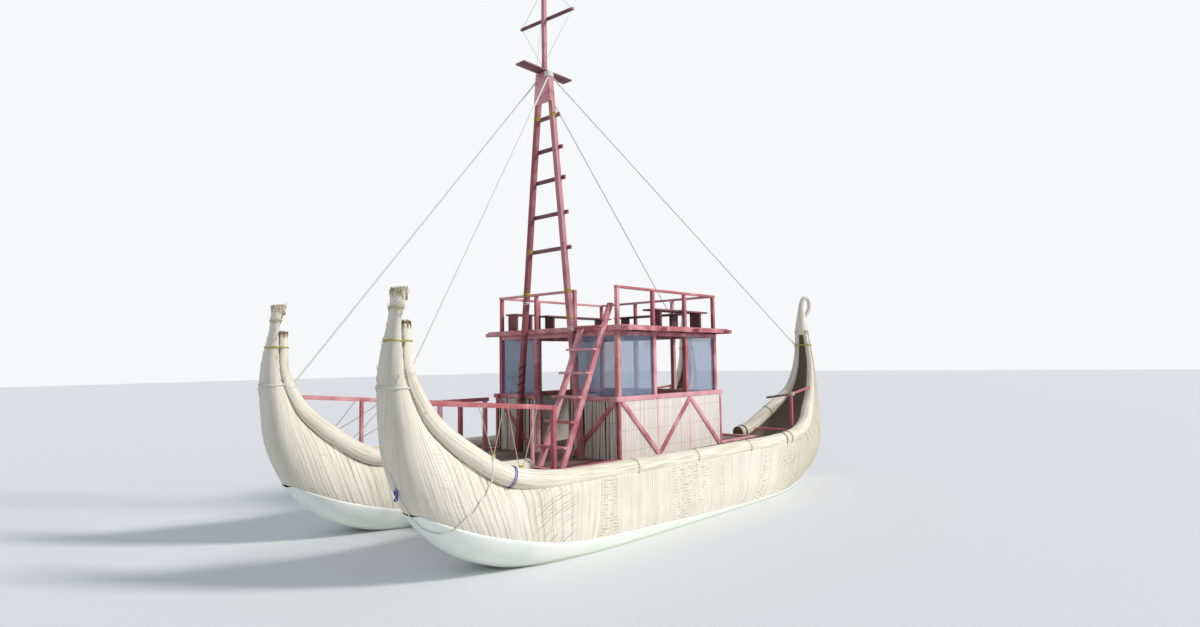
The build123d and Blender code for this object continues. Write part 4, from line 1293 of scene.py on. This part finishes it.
# %% Rings of bars
plates_low, plates_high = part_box("wall_plates")
sills_low, sills_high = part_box("cabin_sills")
rails_low, rails_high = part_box("upper_rails")
fascias_low, fascias_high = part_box("roof_fascias")
kerbs_low, kerbs_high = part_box("deck_kerbs")
front_walls_low, front_walls_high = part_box("front_reed_walls")
aft_wall_low, aft_wall_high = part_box("aft_reed_wall")


def ring_of_bars(low, high, width, saw=0.001):
    """Two long bars to the sides, and two between them across the ends."""
    (x0, y0, z0), (x1, y1, z1) = low, high
    return [((x0, y1 - width, z0), (x1, y1, z1)), ((x0, y0, z0), (x1, y0 + width, z1)),
            ((x1 - width, y0 + width + saw, z0), (x1, y1 - width - saw, z1)),
            ((x0, y0 + width + saw, z0), (x0 + width, y1 - width - saw, z1))]


bars("wall_plates", ring_of_bars(plates_low, plates_high, 0.07))
bars("roof_fascias", ring_of_bars(fascias_low, fascias_high, 0.022), 0.003)
door_edge = front_walls_high.y - 0.933
sill_width, saw_cut = 0.105, 0.001
x0, y0, z0 = sills_low
x1, y1, z1 = sills_high
front_x, back_x = plates_high.x + 0.045, plates_low.x - 0.045
inner_low, inner_high = y0 + sill_width + saw_cut, y1 - sill_width
bars("cabin_sills", [
    ((x0, inner_high, z0), (x1, y1, z1)), ((x0, y0, z0), (x1, y0 + sill_width, z1)),
    ((front_x - sill_width, door_edge, z0), (front_x, inner_high - saw_cut, z1)),
    ((front_x - sill_width, inner_low, z0), (front_x, -door_edge, z1)),
    ((back_x, inner_low, z0), (back_x + sill_width, inner_high - saw_cut, z1))])
# The upper rail's front bar stops at the ladder
rail_bars = ring_of_bars(rails_low, rails_high, 0.06)
front_rail_low, front_rail_high = rail_bars[2]
ladder_side = 0.4617
rail_bars[2] = (front_rail_low, (front_rail_high[0], ladder_side, front_rail_high[2]))
bars("upper_rails", rail_bars)
kerb_width = 0.10
kerb_rows = []
for end_x, wall_x in ((kerbs_high.x, front_walls_high.x), (kerbs_low.x, aft_wall_low.x)):
    toward = 1 if end_x > 0 else -1
    cross = sorted((end_x, end_x - toward * kerb_width))
    run = sorted((wall_x, end_x - toward * (kerb_width + saw_cut)))
    for (fore, aft), sides in ((cross, ((kerbs_low.y, kerbs_high.y),)),
                               (run, ((kerbs_high.y - kerb_width, kerbs_high.y),
                                      (kerbs_low.y, kerbs_low.y + kerb_width)))):
        kerb_rows += [((fore, low, kerbs_low.z), (aft, high, kerbs_high.z)) for low, high in sides]
bars("deck_kerbs", kerb_rows)
print("rings of bars laid")

# %% [markdown]
# ## Reed walls
# Below the windows the cabin is closed with mats: whole reeds stood side by side, sewn together with
# cord. Each reed here is its own slim tube with its own tone, one layer outside and one inside, with
# a core sheet between so that no daylight slips through. On the front walls the core is dark: painted
# shade that shows in the gaps between the reeds.

# %% Stand the reeds up
def reed_row(stack, start, end, bottom, top, pitch, radius, lean=0.004, spare=0.0):
    """Upright reeds side by side from start to end, both (x, y)."""
    start, end = np.array(start, float), np.array(end, float)
    length = np.linalg.norm(end - start)
    run = (end - start) / length
    count = int(length / pitch)
    for i in range(count):
        if rng.random() < spare:
            continue
        foot = start + run * (pitch * (i + 0.5) + rng.uniform(-0.1, 0.1) * pitch)
        head = foot + run * rng.uniform(-lean, lean)
        own = radius * rng.uniform(0.86, 1.0)
        rise = np.linspace(0, 1, 5)
        bow_out = np.sin(rise * np.pi)[:, None] * run * rng.uniform(-lean, lean) * 0.6
        line = foot + (head - foot) * rise[:, None] + bow_out
        high = top - rng.uniform(0, 0.006)
        path = np.column_stack([line, bottom + (high - bottom) * rise])
        add_tube(stack, path, own, 6, tone=rng.random(), ends=False)


def mat_wall(stack, node, ends, normal, pitch, radius, spare=0.0, lean=0.004, core=0):
    """One panel: ends are the (x, y) of its middle line, normal points outdoors."""
    low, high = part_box(node)
    a, b, normal = (np.array(v, float) for v in (*ends, normal))
    thick = min(high.x - low.x, high.y - low.y)
    for side in (1, -1):
        layer = normal * side * (thick / 2 - radius)
        reed_row(stack, a + layer, b + layer, low.z, high.z, pitch, radius, lean, spare)
    # The core sheet: pale on the side and aft walls, dark painted shade on the front walls
    for side in (1, -1):
        shift = normal * side * 0.003
        corners = [[(*(a + shift), z), (*(b + shift), z)] for z in (low.z, high.z)]
        stack.grid(corners, [[(0, 0), (1, 0)], [(0, 1), (1, 1)]], 1.0, core)


def stitches(stack, start, end, normal, heights, thick, finish):
    """Rows of cord sewn through the mat, seen as a wavy line."""
    start, end, normal = (np.array(v, float) for v in (start, end, normal))
    length = np.linalg.norm(end - start)
    steps = np.linspace(0, 1, int(length / 0.012))
    for height in heights:
        wave = thick / 2 - 0.0015 + 0.0012 * np.sin(steps * length / 0.024 * np.pi)
        line = start + (end - start) * steps[:, None] + normal * wave[:, None]
        rise = height + 0.003 * np.sin(steps * 7 + height * 9)
        add_tube(stack, np.column_stack([line, rise]), 0.0016, 4, finish=finish, ends=False)


wall_middle = (front_walls_low.x + front_walls_high.x) / 2
aft_middle = (aft_wall_low.x + aft_wall_high.x) / 2
mat_thickness = 0.038
for side_name, hand in hands:
    low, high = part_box(side_name + "_reed_wall")
    middle_y = (low.y + high.y) / 2
    ends = ((low.x + 0.006, middle_y), (high.x - 0.006, middle_y))
    stack = Stack()
    mat_wall(stack, side_name + "_reed_wall", ends, (0, hand), 0.0125, 0.0068)
    stitches(stack, *ends, (0, hand), (1.05, 1.34, 1.63), high.y - low.y, 1)
    name = side_name + "_wall_mat"
    add_piece(name, stack.mesh(name), [wall_finish, tan_cord], [side_name + "_reed_wall"])
stack = Stack()
for side in (1, -1):
    ends = ((wall_middle, side * 0.400), (wall_middle, side * (front_walls_high.y - 0.006)))
    # core=2 gives the front walls the dark core sheet, painted shade in the gaps between their reeds
    mat_wall(stack, "front_reed_walls", ends, (1, 0), 0.0185, 0.0080, 0.16, 0.008, core=2)
    stitches(stack, *ends, (1, 0), (1.10, 1.45), mat_thickness, 1)
add_piece("front_wall_mats", stack.mesh("front_wall_mats"), [coarse_finish, tan_cord, core_shade_sheet],
          ["front_reed_walls"])
stack = Stack()
ends = ((aft_middle, aft_wall_low.y + 0.006), (aft_middle, aft_wall_high.y - 0.006))
mat_wall(stack, "aft_reed_wall", ends, (-1, 0), 0.0145, 0.0078)
stitches(stack, *ends, (-1, 0), (1.05, 1.34, 1.63), mat_thickness, 1)
add_piece("aft_wall_mat", stack.mesh("aft_wall_mat"), [wall_finish, tan_cord], ["aft_reed_wall"])
print("reed walls stand")

# %% [markdown]
# ## Window sheets
# The panes are clear plastic sheet, faintly blue and dusty. Their frame solids are already right, so
# they stay and only take a finish.

# %% Glaze the windows
for node in ("side_panes", "front_panes"):
    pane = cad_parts[node]
    pane.data.materials.clear()
    pane.data.materials.append(sheet_finish)
print("panes glazed")

# %% [markdown]
# ## Stays
# Four white ropes hold the mast: two run forward and two aft, one to each end of each hull.

# %% Stretch the stays
def islands_of(mesh):
    """Point sets of a mesh's separate bodies."""
    welded = bmesh.new()
    welded.from_mesh(mesh)
    bmesh.ops.remove_doubles(welded, verts=welded.verts, dist=1e-5)
    sets = [np.array([v.co[:] for v in parts_of(body, "verts")]) for body in bodies(welded)]
    welded.free()
    return sets


def tied_foot(stack, head, foot):
    """The point of a roll that a stay's own line comes closest to, near its foot, with cord round the roll."""
    hand = 1 if foot[1] > 0 else -1
    length = np.linalg.norm(foot - head)
    line = (foot - head) / length
    chosen = None
    for path, radii in roll_lines.values():
        there = across_boat(path, hand) - head
        along = there @ line
        off = np.linalg.norm(there - along[:, None] * line, axis=1)
        off[np.abs(along - length) > 0.6] = np.inf
        nearest = off.argmin()
        if chosen is None or off[nearest] < chosen[0]:
            chosen = (off[nearest], path, radii, nearest)
    off, path, radii, nearest = chosen
    band(stack, path, radii, nearest / (len(path) - 1), 0.006, 0, hand, 2)
    print("a stay's foot moves", round(float(off), 3), "m sideways to its roll")
    return across_boat(path[nearest], hand)


for node in ("forestays", "backstays"):
    stack = Stack()
    for points in islands_of(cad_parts[node].data):
        head = points[points[:, 2] > points[:, 2].max() - 0.03].mean(axis=0)
        foot = points[points[:, 2] < points[:, 2].min() + 0.03].mean(axis=0)
        foot = tied_foot(stack, head, foot)
        add_tube(stack, head + (foot - head) * np.linspace(0, 1, 60)[:, None], 0.0115, 8)
        print("a stay runs", round(float(np.linalg.norm(head - foot)), 2), "m")
    add_piece(node + "_rope", stack.mesh(node + "_rope"), [white_cord], [node])

# %% [markdown]
# ## Lashings and light lines
# The mast is lashed to the roof's front rail and its rungs with yellow and white cord. Thin lines run
# from the topmast over the yard's ends to the crosstree, and cords tie the bow rails to the rolls.


# %% Square lashings round posts and legs
def lash(stack, middle, half_x, half_y, turns, radius, finish, lean=0.0):
    """Turns of cord round an upright of square section, its corners eased."""
    for turn in range(turns):
        angle = np.linspace(0, 2 * math.pi, 33)
        shape = np.abs(np.cos(angle)) ** 4 + np.abs(np.sin(angle)) ** 4
        x = middle[0] + (half_x + radius) * np.cos(angle) / shape ** 0.25
        y = middle[1] + (half_y + radius) * np.sin(angle) / shape ** 0.25
        z = middle[2] + turn * radius * 2.1 + lean * (x - middle[0]) * (1 if turn % 2 else -1)
        add_tube(stack, np.stack([x, y, z + 0 * angle], -1), radius, 6, finish=finish, ends=False)


mast_x = 1.345
leg_foot, leg_head = (0.715, 0.92), (0.105, 7.0)  # out from the middle, height
leg_half_x, leg_half_y = 0.039, 0.040
leg_lean = (leg_head[0] - leg_foot[0]) / (leg_head[1] - leg_foot[1])


def leg_y(height):
    """How far from the middle a leg's middle line stands at a height."""
    return leg_foot[0] + leg_lean * (height - leg_foot[1])


def line_through(points, radius, finish):
    add_tube(stack, [tuple(p) for p in points], radius, 5, finish=finish)


stack = Stack()
# side, height, back round the rung, turns, cord
for side, height, reach, turns, kind in (
        (1, 6.26, rung_depth, 4, yellow), (-1, 6.26, rung_depth, 4, yellow), (-1, 4.11, rung_depth, 4, yellow),
        (1, 3.43, 0.0, 4, yellow), (-1, 3.43, 0.0, 4, yellow), (-1, 3.30, 0.0, 3, white),
        (1, 3.02, 0.0, 3, yellow), (1, 2.84, 0.0, 5, white)):
    lash(stack, (mast_x - reach / 2, side * leg_y(height), height), leg_half_x + reach / 2, leg_half_y, turns,
         0.006, kind, 0.15)
# A dark rope is wound round the far leg
wound = np.linspace(0, 1, 200)
height = 1.75 + 0.62 * wound
coil_radius = 0.056
coil = np.stack([mast_x + coil_radius * np.cos(wound * 30), -leg_y(height) + coil_radius * np.sin(wound * 30),
                 height], -1)
add_tube(stack, coil, 0.009, 6, finish=dark)
# White cord at the head of the port leg
lash(stack, (mast_x + 0.012, leg_y(6.95), 6.91), coil_radius, 0.043, 5, 0.008, white)
yard_low, yard_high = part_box("yard")
tree_low, tree_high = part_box("crosstree")
yard_x, tree_x, tree_z = (yard_low.x + yard_high.x) / 2, (tree_low.x + tree_high.x) / 2, tree_high.z
yard_ends = [Vector((yard_x, yard_low.y + 0.02, yard_high.z - 0.02)),
             Vector((yard_x, yard_high.y - 0.02, yard_low.z + 0.02))]
peak = Vector((mast_x - 0.036, 0.0, 8.50))
for end, foot_y in zip(yard_ends, (tree_low.y + 0.12, tree_high.y - 0.24)):
    for start, stop in ((peak, end), (end, Vector((tree_x, foot_y, tree_z)))):
        line_through((start, (start + stop) / 2, stop), 0.004, white)
    lash(stack, end - Vector((0, 0, 0.004)), 0.024, 0.016, 2, 0.004, white)
tree_tie = Vector((tree_x, -0.2, tree_z))
line_through((peak, (peak + tree_tie) / 2, tree_tie), 0.004, white)
# Cords from the bow rails down to the rolls, with a knot at each foot. Port is written, starboard reflected
ties = [((3.800, 1.385, 1.870), (3.985, 1.880, 1.330)), ((3.400, 1.360, 1.822), (3.985, 1.880, 1.330)),
        ((3.330, 1.355, 1.815), (3.650, 1.925, 1.175)), ((2.800, 1.325, 1.790), (3.600, 1.930, 1.165))]
curl = np.linspace(0, 1, 30)
for hand in (1, -1):
    for head, foot in ties:
        sag = [(a + b) / 2 for a, b in zip(head, foot)]
        sag[2] -= 0.012
        line_through([(x, hand * y, z) for x, y, z in (head, sag, foot)], 0.0045, pale)
    for x, y, z in ((3.985, 1.885, 1.335), (3.625, 1.928, 1.172)):
        ball = (x + 0.016 * np.cos(curl * 19), hand * y + 0.016 * np.sin(curl * 19), z + 0.020 * np.sin(curl * 7))
        add_tube(stack, np.stack(ball, -1), 0.006, 6, finish=yellow)
add_piece("light_lines", stack.mesh("light_lines"), cord_finishes)

# %% The poles of the stern frames, with a bunch of straw on each post
stack = Stack()
curl = np.linspace(0, 1, 60)
for hand in (1, -1):
    x, y, z = post_top = (-3.253, hand * 1.800, 1.692)
    add_tube(stack, [post_top, (-3.256, hand * 1.54, 1.655), (-3.26, hand * 1.28, 1.617)], 0.022, 10, tone=0.9)
    bunch = (x + 0.045 * np.cos(curl * 40), y + 0.045 * np.sin(curl * 40), z + 0.05 * (curl - 0.4))
    add_tube(stack, np.stack(bunch, -1), 0.012, 6, tone=0.4, finish=1)
add_piece("stern_poles", stack.mesh("stern_poles"), [bare_finish, loose_finish])
print("lines and poles rigged")
